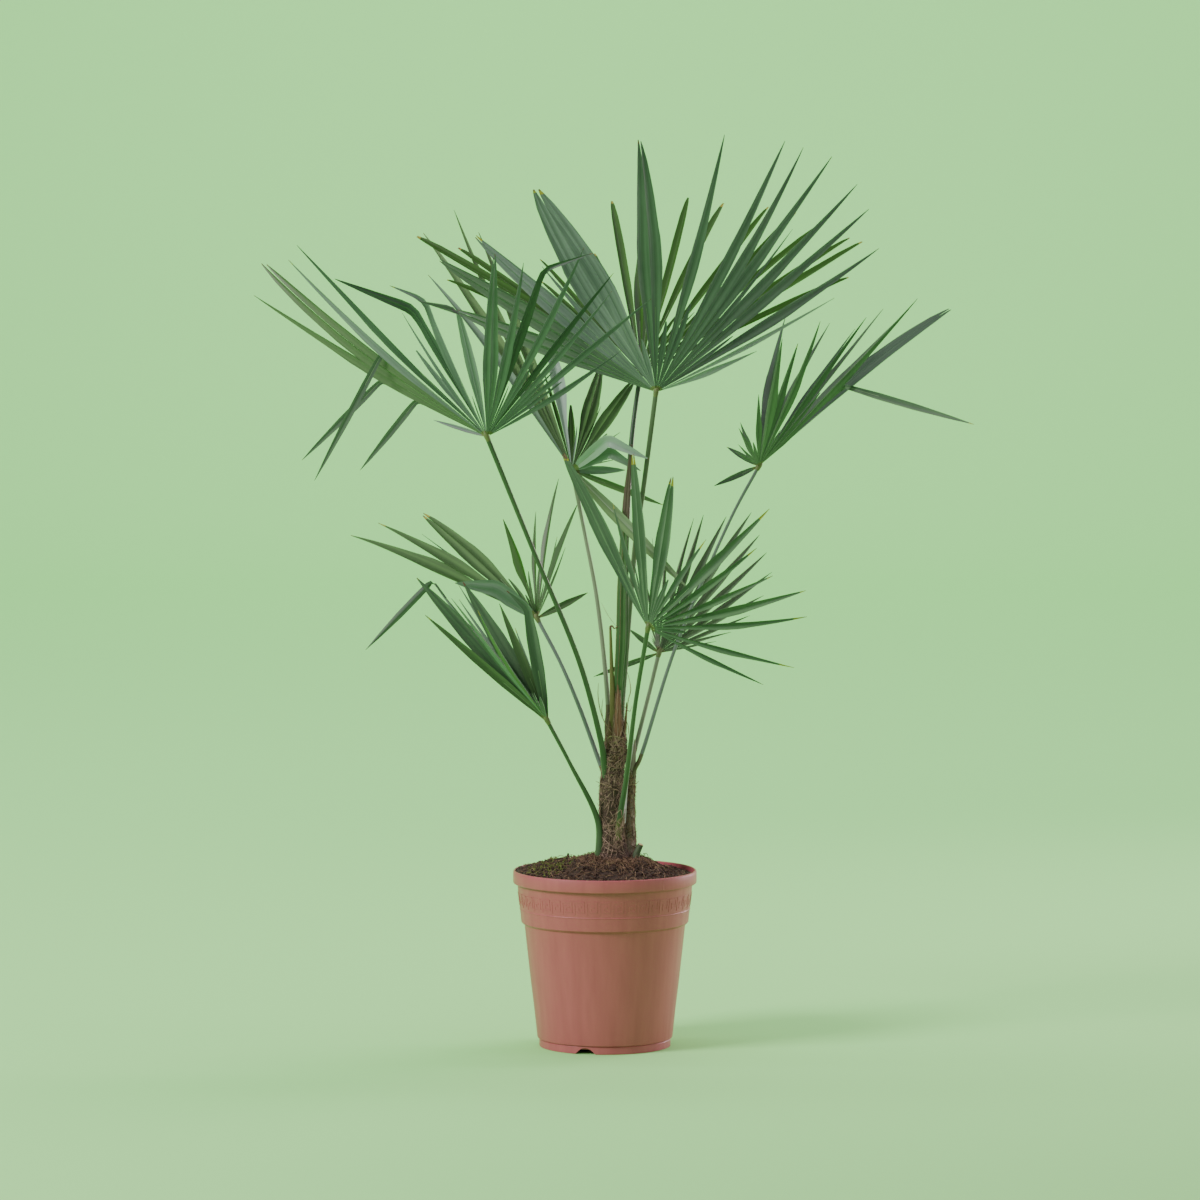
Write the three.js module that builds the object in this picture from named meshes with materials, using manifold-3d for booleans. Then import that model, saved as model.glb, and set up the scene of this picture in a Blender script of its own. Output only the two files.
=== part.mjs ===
// Young windmill palm in its plastic growing pot: trunk, leaf stalks, fan leaves, soil and pot.
// Millimetres, +Z up. The origin lies on the ground plane, on the axis of the pot.
import * as THREE from "three";
import { mergeVertices } from "three/addons/utils/BufferGeometryUtils.js";
import Module from "manifold-3d";

const wasm = await Module();
wasm.setup();

// Clearance between neighbouring solids, how far a cutter runs past a face, and the distance below
// which two corners are one.
const GAP = 0.3;
const PAST = 1;
const WELD = 1e-4;

// Pot, as radii and heights on its axis. Its collar is the band from the rim down to a step.
const POT = {
  height: 126, rimRadius: 65.4, rimHeight: 9, rimWall: 1.5, edge: 0.7, collarTopRadius: 62.5,
  collarBottomRadius: 59.6, collarBottom: 89, stepDepth: 2.1, stepRise: 1.5, bodyBottomRadius: 48.2,
  footRadius: 46.9, footHeight: 6, footWall: 2.4, wall: 1.3, floorBottom: 3, floorTop: 5, sides: 40,
};
const NOTCH = { count: 3, width: 14, height: 5.2, spring: 0.6, firstAngle: -107.4, steps: 4 };
const DRAIN = { count: 6, radius: 5, ringRadius: 30, sides: 8 };

// Soil: a mound that stands a little over the rim round the trunk.
const SOIL = { clear: 0.5, edge: 122.5, slope: [[50, 126], [38, 130.4]], plateau: 27, top: 133, sides: 40 };
const FOOT = SOIL.top + GAP;

// A fan's blade. "root" is where it starts at the hub, "split" the share of the length at which leaflets
// part, "taper" a leaflet's stations as [share of its length, width, thickness], "sunk" the thickness of
// a piece inside another one, and "slender" the least thickness as a share of the length.
const BLADE = {
  thick: 2.4, tip: 1.4, sunk: 2, slender: 0.01, root: 2.4, split: 0.48, leastHalf: 0.5, tipWidth: 0.14,
  endWidth: 0.9, taper: [[0.64, 0.96, 2.4], [0.86, 0.52, 2.1]],
};
const BEND = { root: 4, over: 1, width: 0.85, half: 0.5, halfWidth: 0.7 };
const STRAY = { start: 1, half: 0.5, knee: 0.6 };
const DROOP = [[0, 0.8], [0.2, 1], [0.7, 0.7], [1, 0.2]];
const KNUCKLE = { back: 3.2, front: 3, radii: [1.9, 2.9, 2.1], neck: 1.5, sides: 6 };
const STALK_SIDES = 7;

// Colour and roughness.
const COLOURS = {
  pot: [0xa9705c, 0.42], soil: [0x3f3327, 0.95], trunk: [0x6b5340, 0.95], stem: [0x5d4a39, 0.95],
  stub: [0x4c5638, 0.8], dry: [0x8a6a4c, 0.9], spear: [0x5e7048, 0.6], stalk: [0x56713f, 0.5],
  blueStalk: [0x7f9a94, 0.5], deep: [0x46685a, 0.5], mid: [0x4f7a4c, 0.5], bright: [0x3f7f1e, 0.5],
};

// The limbs of the stem. Each has its axis from foot to tip, and a radius at each point of it.
const TRUNK = {
  axis: [[5.5, 0, FOOT], [5.4, 0, 138], [5.2, 0, 147], [5, 0, 183], [7.3, 0, 217], [8.4, 0, 236],
    [9, 0, 249]],
  radii: [12.6, 10.6, 8.9, 8.2, 7, 5.8, 4.4], sides: 12,
};
const SIDE_STEM = {
  axis: [[19.4, 6, FOOT], [19, 6, 142], [18.6, 6, 170], [18.8, 6.2, 196]],
  radii: [4.2, 3.1, 2.4, 2.9], sides: 8,
};
const STUB = {
  axis: [[21.5, -3, FOOT], [22.6, -3.6, 138], [25.4, -4, 144.6]], radii: [2.9, 2.5, 1.9], sides: 7,
};
const DEAD_STALK = {
  axis: [[5.6, -3.4, 249.3], [4.6, -5.4, 275], [3.9, -8, 298]], radii: [1.9, 1.2, 0.9], sides: 6,
};
const SPEAR = {
  axis: [[9.2, -2.2, 249.3], [11.9, -7, 290], [12.6, -10, 330], [15.2, -12, 391], [18.7, -14, 430]],
  radii: [2.4, 3.6, 3.2, 2, 0.7], sides: 8,
};

// Leaves. A stalk runs along its axis to the hub of its fan. A fan's middle rib points at the angle
// "turn", counted in the XZ plane from +X towards +Z, and leans back to +Y by "lean". "roll" turns the
// blade about that rib, and "fold" lifts its two halves like an open book. Its leaflets lie "step"
// degrees apart, from "edge" degrees on the left. Each entry of "strips" is [ribs held together, reach],
// and one with a square end has a third number, the share of its width left at the end. A strip listed in
// "bends" turns at the distance "at" into another direction. "strays" leave the hub out of the blade.
const LEAVES = [
  {
    name: "a", hub: [36.1, -10, 466.8],
    axis: [[11.4, -0.5, 241], [13.4, 1.5, 262], [17.4, 1, 311], [22.2, -2, 364], [27, -4, 396.5]],
    radii: [2.4, 2.1, 1.8, 1.7, 1.6], stalk: "stalk", blade: "deep",
    turn: 100, lean: -28, roll: -5, fold: 28, edge: 79, step: 6,
    strips: [[2, 165], [2, 186], [2, 172], [1.3, 120], [4, 173], [2, 60], [2, 194], [1.7, 75], [1, 194],
      [1.4, 95], [1, 200], [1, 201], [1, 207], [0.6, 150], [1, 205], [1, 200], [0.8, 95], [1, 196],
      [0.6, 150], [1.4, 82]],
  },
  {
    name: "d", hub: [25.9, 44, 478.6],
    axis: [[11.5, 5, 238], [12.2, 9, 262], [15.3, 22, 360], [18.8, 34, 428], [23, 41.5, 462]],
    radii: [2.4, 2.1, 1.8, 1.6, 1.5], stalk: "stalk", blade: "bright",
    turn: 93, lean: 46, roll: 0, fold: -12, edge: 62, step: 5,
    strips: [[1, 160], [1, 197], [1, 170], [1, 140], [1, 110], [1, 126], [2, 60], [1, 150], [1, 120], [1, 60],
      [1, 173], [2.2, 160], [0.6, 60], [1, 172], [0.9, 70], [1, 170], [1.4, 80], [1, 171], [0.6, 90],
      [1, 177], [0.6, 90], [1, 174], [0.6, 100], [1, 184], [1, 187], [1, 165]],
  },
  {
    name: "b", hub: [-82.5, -58, 437.4],
    axis: [[2.6, -5.5, 205], [-2, -10.5, 217], [-17.6, -22, 275], [-50.6, -39, 357]],
    radii: [2.6, 2.2, 1.9, 1.7], stalk: "stalk", blade: "mid",
    turn: 93, lean: -40, roll: -8, fold: 33, edge: 88.5, step: 6,
    strips: [[1.1, 209], [1.7, 219], [1.1, 192], [0.5, 90], [1, 189], [1.5, 108], [1.2, 105], [1.5, 165],
      [0.4, 60], [1.3, 140], [0.7, 60], [2, 136], [0.5, 60], [1.9, 166], [1.4, 149], [1, 178], [0.7, 60],
      [1, 161], [0.9, 90], [1, 150], [1, 136], [0.9, 90], [1, 150], [1, 90], [1.2, 113], [0.6, 50]],
    bends: [{ strip: 7, at: 106, turn: 159, lean: -15 }, { strip: 9, at: 112, turn: 157, lean: -10 },
      { strip: 11, at: 110, turn: 165, lean: -8 }, { strip: 15, at: 142, turn: 18, lean: -10 }],
    strays: [{ turn: 165, lean: 39, reach: 50, width: 3 }],
  },
  {
    name: "c", hub: [-23.4, 15, 410.3],
    axis: [[1.8, 4.5, 226], [2.2, 7, 242], [-5.6, 12, 318], [-14.2, 14, 364]],
    radii: [2.5, 2.1, 1.8, 1.6], stalk: "stalk", blade: "mid",
    turn: 70, lean: 48, roll: -8, fold: -16, edge: 53, step: 6,
    strips: [[1, 190], [1, 229], [0.7, 234], [1, 221], [0.7, 120], [1, 145], [1.6, 85], [0.6, 60], [1.6, 112],
      [0.8, 70], [1.8, 102], [1.5, 60], [1.2, 50], [1, 38], [1, 36], [1, 36], [1, 36], [1, 34], [1, 34]],
    strays: [{ turn: 42, lean: -38, reach: 76, width: 9, at: 42, onTurn: -24, onLean: -20 },
      { turn: 28, lean: -32, reach: 62, width: 8, at: 34, onTurn: -30, onLean: -22 },
      { turn: 0, lean: 0, reach: 37, width: 6 }, { turn: -21, lean: 0, reach: 69, width: 5 },
      { turn: -44, lean: -36, reach: 140, width: 9 }],
  },
  {
    name: "e", hub: [109.6, 15, 413.2],
    axis: [[20.6, 4, 196.3], [24.5, 2.6, 204], [50.6, 9, 285], [90.5, 14, 377.6]],
    radii: [1.7, 1.8, 1.6, 1.4], stalk: "blueStalk", blade: "mid",
    turn: 40, lean: -8, roll: 86, fold: 27, edge: 95, step: 7,
    strips: [[1, 45], [1, 45], [1, 67], [1, 50], [1, 98], [1, 156], [1, 140], [1, 150], [1, 105], [1, 153],
      [1, 105], [1, 173], [1, 84, 0.8], [2, 178], [1, 150], [1, 120], [1, 150], [1, 130], [1, 120], [1, 140],
      [1, 110], [1, 120], [1, 178], [1, 90], [1, 60], [1, 76]],
    strays: [{ turn: 204, lean: 0, reach: 34, width: 4 }, { turn: 150, lean: 20, reach: 27, width: 4 }],
  },
  {
    name: "f", hub: [30, -70, 304.3],
    axis: [[8.2, -7.4, 148], [10.6, -9.6, 163], [14.9, -20, 192], [21.8, -48, 252]],
    radii: [2.8, 2.4, 2, 1.7], stalk: "stalk", blade: "mid",
    turn: 46, lean: -35, roll: 0, fold: 12, edge: 79, step: 7,
    strips: [[2, 137], [1, 92], [0.5, 70], [2, 131], [2.2, 120], [1.5, 60], [1, 90], [0.5, 60], [1, 146],
      [1, 114], [0.7, 60], [1, 109], [0.3, 60], [1.2, 124], [0.6, 60], [1, 115], [2, 60], [1, 106], [1.2, 60],
      [1, 90]],
  },
  {
    name: "g", hub: [38.8, 35, 278],
    axis: [[17.6, 8, 196.3], [20.4, 10.5, 207], [32.3, 28, 252]],
    radii: [1.7, 1.8, 1.5], stalk: "stalk", blade: "mid",
    turn: 70, lean: 40, roll: 20, fold: -20, edge: 75, step: 6,
    strips: [[1, 40], [1, 45], [1, 50], [1, 55], [1, 60], [1, 70], [1, 80], [1, 85], [1, 90], [1, 95],
      [1, 100], [1, 117], [1, 130], [1, 141], [1, 152], [1, 140], [1, 130], [1, 120], [1, 100], [1, 80],
      [1, 60], [1, 45]],
    strays: [{ turn: 200, lean: 0, reach: 49, width: 4 }, { turn: 142, lean: 10, reach: 27, width: 4 }],
  },
  {
    name: "h", hub: [-48.5, 25, 303.9],
    axis: [[0.8, 4, 190], [-4.5, 7.5, 204], [-17.8, 14, 240], [-32.1, 20, 273]],
    radii: [2.6, 2.1, 1.9, 1.6], stalk: "blueStalk", blade: "mid",
    turn: 112, lean: 48, roll: -10, fold: -30, edge: 47, step: 7,
    strips: [[1, 160], [1, 150], [0.4, 118], [1.9, 138], [1, 62], [1.3, 60], [1, 103], [1, 60], [1, 70],
      [1, 85], [1, 60], [1, 105], [1, 60], [1, 60], [1, 87], [1, 55]],
    strays: [{ turn: 26, lean: 10, reach: 40, width: 5 },
      { turn: 143, lean: -10, reach: 66, width: 12, at: 36, onTurn: 172, onLean: -12 }],
  },
  {
    name: "i", hub: [-40.9, -30, 236],
    axis: [[-2.2, -4.6, 136], [-4.6, -6.6, 162], [-24.7, -20, 204]],
    radii: [3, 2.3, 1.7], stalk: "stalk", blade: "mid",
    turn: 136, lean: 0, roll: 90, fold: -22, edge: 66, step: 7,
    strips: [[2, 130], [1, 119], [1, 100], [1, 112], [1, 125], [1, 120], [1, 110], [2, 136], [1, 117],
      [1, 127, 0.6], [1, 110], [1, 125], [1, 109], [1, 100], [1, 90], [1, 80]],
  },
];

// Leaflets that hang over at a knee, each a piece of its own: the leaf, the knee's place on its blade as
// an angle and a distance from the hub, how far off the blade's face it lies, and the way it points.
const HANGING = [
  { name: "b_hanging_1", leaf: "b", angle: 89.8, at: 64, off: 0, turn: -129, lean: 0, reach: 64, width: 5 },
  { name: "b_hanging_2", leaf: "b", angle: 89.5, at: 97, off: 0, turn: -135, lean: 0, reach: 80, width: 5 },
  { name: "b_hanging_3", leaf: "b", angle: 71, at: 97, off: 2.3, turn: -118, lean: 0, reach: 102, width: 5 },
  { name: "e_hanging", leaf: "e", angle: 7.5, at: 85.7, off: 0, turn: -15, lean: -48, reach: 132, width: 5 },
  { name: "i_hanging", leaf: "i", angle: -14.5, at: 129.8, off: 0, turn: -134, lean: 0, reach: 68, width: 5 },
];

const vec = (p) => new THREE.Vector3(...p);
const radians = THREE.MathUtils.degToRad;

// Direction at the angle "turn" in the XZ plane, leaning back to +Y by "lean".
function heading(turn, lean) {
  const t = radians(turn);
  const l = radians(lean);
  return new THREE.Vector3(Math.cos(t) * Math.cos(l), Math.sin(l), Math.sin(t) * Math.cos(l));
}

// Geometry with shared vertices, as a solid that can be joined and cut.
function solid(geometry) {
  const bare = geometry.clone();
  bare.deleteAttribute("normal");
  bare.deleteAttribute("uv");
  const merged = mergeVertices(bare, WELD);
  const vertProperties = new Float32Array(merged.attributes.position.array);
  const triVerts = new Uint32Array(merged.index.array);
  return new wasm.Manifold(new wasm.Mesh({ numProp: 3, vertProperties, triVerts }));
}

// Solid of a closed surface, its faces turned out whichever way round they were listed.
function closedSolid(points, index) {
  const geometry = new THREE.BufferGeometry();
  const values = points.flatMap((p) => [p.x, p.y, p.z]);
  geometry.setAttribute("position", new THREE.Float32BufferAttribute(values, 3));
  geometry.setIndex(index);
  const body = solid(geometry);
  return body.volume() > 0 ? body : closedSolid(points, [...index].reverse());
}

// Closed solid through rings of equally many points, with a flat cap on both ends.
function loft(rings) {
  const n = rings[0].length;
  const index = [];
  for (let k = 0; k + 1 < rings.length; k++) {
    for (let i = 0; i < n; i++) {
      const a = k * n + i;
      const b = k * n + ((i + 1) % n);
      index.push(a, b, b + n, a, b + n, a + n);
    }
  }
  const last = (rings.length - 1) * n;
  for (let i = 1; i + 1 < n; i++) {
    index.push(0, i + 1, i);
    index.push(last, last + i, last + i + 1);
  }
  return closedSolid(rings.flat(), index);
}

function geometryOf(body) {
  const mesh = body.getMesh();
  const geometry = new THREE.BufferGeometry();
  geometry.setAttribute("position", new THREE.Float32BufferAttribute(mesh.vertProperties, 3));
  geometry.setIndex(new THREE.Uint32BufferAttribute(mesh.triVerts, 1));
  geometry.computeVertexNormals();
  return geometry;
}

function material(name) {
  const [color, roughness] = COLOURS[name];
  return new THREE.MeshStandardMaterial({ color, roughness, metalness: 0 });
}

function node(name, body, colour) {
  const mesh = new THREE.Mesh(geometryOf(body), material(colour));
  mesh.name = name;
  return mesh;
}

// Round limb along an axis, its radius going from value to value; "extra" makes it larger all over.
// One that stands on the soil is cut level there.
function limb({ axis, radii, sides }, extra = 0, steps = 2) {
  const curve = new THREE.CatmullRomCurve3(axis.map(vec), false, "centripetal");
  const count = (axis.length - 1) * steps;
  const frames = curve.computeFrenetFrames(count, false);
  const rings = [];
  for (let k = 0; k <= count; k++) {
    const place = (k / count) * (radii.length - 1);
    const i = Math.min(Math.floor(place), radii.length - 2);
    const radius = THREE.MathUtils.lerp(radii[i], radii[i + 1], place - i) + extra;
    const past = { 0: -extra, [count]: extra }[k] ?? 0;
    const centre = curve.getPoint(k / count).addScaledVector(frames.tangents[k], past);
    const level = k === 0 && axis[0][2] === FOOT;
    const across = frames.normals[k].clone();
    if (level) across.setZ(0).normalize();
    const up = level ? new THREE.Vector3(0, 0, 1).cross(across) : frames.binormals[k];
    rings.push(Array.from({ length: sides }, (_, j) => {
      const angle = (j / sides) * 2 * Math.PI;
      return centre.clone().addScaledVector(across, Math.cos(angle) * radius)
        .addScaledVector(up, Math.sin(angle) * radius);
    }));
  }
  return loft(rings);
}

// Outline of the pot's wall from the floor's middle, down to the foot, up outside and back inside.
function potProfile() {
  const p = POT;
  const rimBottom = p.height - p.rimHeight;
  const stepRadius = p.collarBottomRadius - p.stepDepth;
  const outline = [
    [0, p.floorBottom], [p.footRadius - p.footWall - p.edge, p.floorBottom], [p.footRadius - p.footWall, 0],
    [p.footRadius, 0], [p.footRadius, p.footHeight - p.edge], [p.bodyBottomRadius, p.footHeight],
    [stepRadius, p.collarBottom - p.stepRise], [p.collarBottomRadius, p.collarBottom],
    [p.collarTopRadius, rimBottom], [p.rimRadius - p.edge, rimBottom], [p.rimRadius, rimBottom + p.edge],
    [p.rimRadius, p.height - p.edge], [p.rimRadius - p.edge, p.height], [p.rimRadius - p.rimWall, p.height],
    [p.rimRadius - p.rimWall, rimBottom + p.stepRise], [p.collarTopRadius - p.wall, rimBottom - p.wall],
    [p.collarBottomRadius - p.wall, p.collarBottom + p.edge],
    [stepRadius - p.wall, p.collarBottom - p.stepRise], [p.bodyBottomRadius - p.wall, p.footHeight],
    [p.bodyBottomRadius - 2 * p.wall, p.floorTop], [0, p.floorTop],
  ];
  return outline.map(([r, z]) => new THREE.Vector2(r, z));
}

function lathe(profile, sides) {
  return new THREE.LatheGeometry(profile, sides).rotateX(Math.PI / 2);
}

function closedLathe(profile, sides) {
  const body = solid(lathe(profile, sides));
  return body.volume() > 0 ? body : solid(lathe([...profile].reverse(), sides));
}

// Arched opening through the foot ring.
function notchCutter(angle) {
  const { width, height, spring, steps } = NOTCH;
  const shape = new THREE.Shape();
  shape.moveTo(-width / 2, -PAST);
  shape.lineTo(width / 2, -PAST);
  shape.lineTo(width / 2, spring);
  shape.absellipse(0, spring, width / 2, height - spring, 0, Math.PI, false);
  const from = POT.footRadius - POT.footWall - PAST;
  const depth = POT.bodyBottomRadius + PAST - from;
  const geometry = new THREE.ExtrudeGeometry(shape, { depth, bevelEnabled: false, curveSegments: steps });
  geometry.rotateX(Math.PI / 2);
  geometry.rotateZ(Math.PI / 2);
  geometry.translate(from, 0, 0);
  geometry.rotateZ(radians(angle));
  return solid(geometry);
}

function drainCutter(angle) {
  const height = POT.floorTop - POT.floorBottom + 2 * PAST;
  const geometry = new THREE.CylinderGeometry(DRAIN.radius, DRAIN.radius, height, DRAIN.sides);
  geometry.rotateX(Math.PI / 2);
  geometry.translate(DRAIN.ringRadius, 0, (POT.floorTop + POT.floorBottom) / 2);
  geometry.rotateZ(radians(angle));
  return solid(geometry);
}

function pot() {
  let body = closedLathe(potProfile(), POT.sides);
  for (let i = 0; i < NOTCH.count; i++) {
    body = body.subtract(notchCutter(NOTCH.firstAngle + (360 / NOTCH.count) * i));
  }
  for (let i = 0; i < DRAIN.count; i++) {
    body = body.subtract(drainCutter((360 / DRAIN.count) * i));
  }
  return body;
}

// The soil fills the pot up to a mound, clear of the wall all round.
function soil() {
  const p = POT;
  const { clear, edge, slope, plateau, top, sides } = SOIL;
  const rimBottom = p.height - p.rimHeight;
  const inside = (radius) => radius - p.wall - clear;
  const rimInside = p.rimRadius - p.rimWall - clear;
  const profile = [
    [0, p.floorTop + GAP], [inside(p.bodyBottomRadius - p.wall), p.floorTop + GAP],
    [inside(p.bodyBottomRadius), p.footHeight + clear],
    [inside(p.collarBottomRadius - p.stepDepth), p.collarBottom - p.stepRise],
    [inside(p.collarTopRadius), rimBottom - p.wall], [rimInside, rimBottom + p.stepRise + clear],
    [rimInside, edge], ...slope, [plateau, top], [0, top],
  ];
  return closedLathe(profile.map(([r, z]) => new THREE.Vector2(r, z)), sides);
}

// Axes of a fan: along its middle rib, to its left side, and square to its blade.
function fanAxes(leaf) {
  const along = heading(leaf.turn, leaf.lean);
  const t = radians(leaf.turn);
  const level = new THREE.Vector3(-Math.sin(t), 0, Math.cos(t));
  const square = new THREE.Vector3().crossVectors(along, level);
  const roll = radians(leaf.roll);
  const side = level.multiplyScalar(Math.cos(roll)).addScaledVector(square, Math.sin(roll));
  return { along, side, face: new THREE.Vector3().crossVectors(along, side) };
}

// Direction from the hub at an angle of the blade, its halves lifted by the fold.
function ray(leaf, angle) {
  const { along, side, face } = leaf.axes;
  const fold = radians(leaf.fold);
  return new THREE.Vector3()
    .addScaledVector(along, Math.cos(angle))
    .addScaledVector(side, Math.sin(angle) * Math.cos(fold))
    .addScaledVector(face, -Math.abs(Math.sin(angle)) * Math.sin(fold));
}

// The strips of a fan with their middle angle and half width, both in radians. The flat part of a strip
// that bends ends just past its bend.
function stripsOf(leaf) {
  let edge = leaf.edge;
  return leaf.strips.map(([ribs, reach, share = BLADE.tipWidth], index) => {
    const wide = ribs * leaf.step;
    const middle = radians(edge - wide / 2);
    edge -= wide;
    const bend = leaf.bends?.find((b) => b.strip === index);
    const flatReach = bend ? bend.at + BEND.over : reach;
    const tipWidth = bend ? BLADE.endWidth : share;
    return { middle, half: radians(wide / 2), reach, flatReach, tipWidth, bend };
  });
}

// Ways along, across and square to the blade at one of its angles.
function bladeAxes(leaf, angle) {
  const step = radians(1);
  const along = ray(leaf, angle);
  const across = ray(leaf, angle + step).sub(ray(leaf, angle - step)).normalize();
  return { along, across, face: new THREE.Vector3().crossVectors(along, across).normalize() };
}

// The flat blade of a fan as one thin sheet. Its leaflets part from their neighbours at a share of the
// shorter one's length, and each narrows from its shoulder to its tip.
function blade(leaf) {
  const pieces = stripsOf(leaf);
  const hub = vec(leaf.hub);
  const points = [];
  const index = [];
  const place = (angle, r, offset, thick) => {
    const { along, across, face } = bladeAxes(leaf, angle);
    const middle = hub.clone().addScaledVector(along, r).addScaledVector(across, offset);
    points.push(middle.clone().addScaledVector(face, thick / 2));
    points.push(middle.clone().addScaledVector(face, -thick / 2));
    return points.length / 2 - 1;
  };
  const quad = (...corners) => {
    const [rightIn, rightOut, leftOut, leftIn] = corners.map((corner) => 2 * corner);
    index.push(rightIn, rightOut, leftOut, rightIn, leftOut, leftIn);
    index.push(rightIn + 1, leftOut + 1, rightOut + 1, rightIn + 1, leftIn + 1, leftOut + 1);
  };
  const wall = (a, b) => index.push(2 * a, 2 * a + 1, 2 * b + 1, 2 * a, 2 * b + 1, 2 * b);
  const count = pieces.length;
  const roots = [];
  const sinuses = [];
  for (let i = 0; i <= count; i++) {
    const left = pieces[i - 1];
    const right = pieces[i];
    const angle = right ? right.middle + right.half : left.middle - left.half;
    const shorter = Math.min(left ? left.flatReach : Infinity, right ? right.flatReach : Infinity);
    roots.push(place(angle, BLADE.root, 0, BLADE.thick));
    sinuses.push(place(angle, BLADE.split * shorter, 0, BLADE.thick));
  }
  pieces.forEach(({ middle, half, flatReach, tipWidth }, i) => {
    const full = Math.tan(half) * BLADE.split * flatReach;
    let right = sinuses[i + 1];
    let left = sinuses[i];
    quad(roots[i + 1], right, left, roots[i]);
    wall(roots[i], roots[i + 1]);
    for (const [share, width, thick] of [...BLADE.taper, [1, tipWidth, BLADE.tip]]) {
      const halfWidth = Math.max(BLADE.leastHalf, full * width);
      const nextRight = place(middle, share * flatReach, -halfWidth, thick);
      const nextLeft = place(middle, share * flatReach, halfWidth, thick);
      quad(right, nextRight, nextLeft, left);
      wall(right, nextRight);
      wall(nextLeft, left);
      right = nextRight;
      left = nextLeft;
    }
    wall(right, left);
  });
  wall(roots[count], sinuses[count]);
  wall(sinuses[0], roots[0]);
  return closedSolid(points, index);
}

// Thin plate along a route, with a [half width, thickness] and a face direction at each point of it.
function plate(route, across, faces, stations) {
  const corners = [[-1, -1], [1, -1], [1, 1], [-1, 1]];
  return loft(stations.map(([width, thick], i) => corners.map(([u, v]) => route[i].clone()
    .addScaledVector(across, u * width).addScaledVector(faces[i], (v * thick) / 2))));
}

// The part of a bent strip beyond its bend, rooted in the flat part.
function bentTip(leaf, { middle, half, reach, bend, flatReach }) {
  const { along, across, face } = bladeAxes(leaf, middle);
  const way = heading(bend.turn, bend.lean);
  const knee = vec(leaf.hub).addScaledVector(along, bend.at - BEND.over);
  const full = Math.tan(half) * BLADE.split * flatReach * BEND.width;
  const lower = new THREE.Vector3().crossVectors(way, across).normalize();
  const between = face.clone().add(lower).normalize();
  const rest = reach - bend.at;
  const route = [knee.clone().addScaledVector(along, -BEND.root), knee,
    knee.clone().addScaledVector(way, rest * BEND.half), knee.clone().addScaledVector(way, rest)];
  return plate(route, across, [face, between, lower, lower], [[full, BLADE.sunk], [full, BLADE.sunk],
    [full * BEND.halfWidth, BLADE.thick], [BLADE.leastHalf, BLADE.tip]]);
}

// A narrow leaflet that leaves the hub out of the fan's plane, bent over at "at" where it has a bend.
function stray(leaf, { turn, lean, reach, width, at = reach * STRAY.knee, onTurn = turn, onLean = lean }) {
  const way = heading(turn, lean);
  const onWay = heading(onTurn, onLean);
  const across = new THREE.Vector3().crossVectors(way, leaf.axes.face).normalize();
  const face = new THREE.Vector3().crossVectors(across, way).normalize();
  const onFace = new THREE.Vector3().crossVectors(across, onWay).normalize();
  const between = face.clone().add(onFace).normalize();
  const hub = vec(leaf.hub);
  const knee = hub.clone().addScaledVector(way, at);
  const start = hub.clone().addScaledVector(way, STRAY.start);
  const halfway = hub.clone().addScaledVector(way, at * STRAY.half);
  const route = [start, halfway, knee, knee.clone().addScaledVector(onWay, reach - at)];
  const thick = Math.max(BLADE.tip, reach * BLADE.slender);
  return plate(route, across, [face, face, between, onFace],
    [[BLADE.leastHalf, thick], [width / 2, thick], [width / 2, thick], [BLADE.leastHalf, thick]]);
}

// The way that a stalk comes in at the hub.
function arrival(leaf) {
  const last = vec(leaf.axis[leaf.axis.length - 1]);
  return vec(leaf.hub).sub(last).normalize();
}

function stalkLimb(leaf) {
  const end = vec(leaf.hub).addScaledVector(arrival(leaf), -KNUCKLE.back - GAP);
  return { axis: [...leaf.axis, end.toArray()], radii: [...leaf.radii, KNUCKLE.neck], sides: STALK_SIDES };
}

// The knot at the hub, from which the ribs spread.
function knuckle(leaf) {
  const way = arrival(leaf);
  const start = vec(leaf.hub).addScaledVector(way, -KNUCKLE.back);
  const end = vec(leaf.hub).addScaledVector(way, KNUCKLE.front);
  const axis = [start, start.clone().lerp(end, 0.5), end].map((p) => p.toArray());
  return limb({ axis, radii: KNUCKLE.radii, sides: KNUCKLE.sides }, 0, 1);
}

function fan(leaf) {
  let body = knuckle(leaf).add(blade(leaf));
  for (const piece of stripsOf(leaf)) {
    if (piece.bend) body = body.add(bentTip(leaf, piece));
  }
  for (const spec of leaf.strays ?? []) body = body.add(stray(leaf, spec));
  return body;
}

// Leaflet beyond its knee: a plate that narrows to its tip.
function hanging(spec) {
  const leaf = LEAVES.find((l) => l.name === spec.leaf);
  const base = bladeAxes(leaf, radians(spec.angle));
  const way = heading(spec.turn, spec.lean);
  const across = new THREE.Vector3().crossVectors(way, base.face).normalize();
  const face = new THREE.Vector3().crossVectors(across, way);
  const start = vec(leaf.hub).addScaledVector(base.along, spec.at).addScaledVector(base.face, spec.off);
  const route = DROOP.map(([share]) => start.clone().addScaledVector(way, share * spec.reach));
  return plate(route, across, DROOP.map(() => face),
    DROOP.map(([, width]) => [(width * spec.width) / 2, BLADE.tip]));
}

// Limbs one by one, each cut clear of those before it.
function seatLimbs(list) {
  const grown = [];
  return list.map(({ name, shape, colour }) => {
    let body = limb(shape);
    for (const other of grown) body = body.subtract(other);
    grown.push(limb(shape, GAP));
    return node(name, body, colour);
  });
}

const palm = new THREE.Group();
palm.name = "windmill_palm";
for (const leaf of LEAVES) leaf.axes = fanAxes(leaf);

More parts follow.
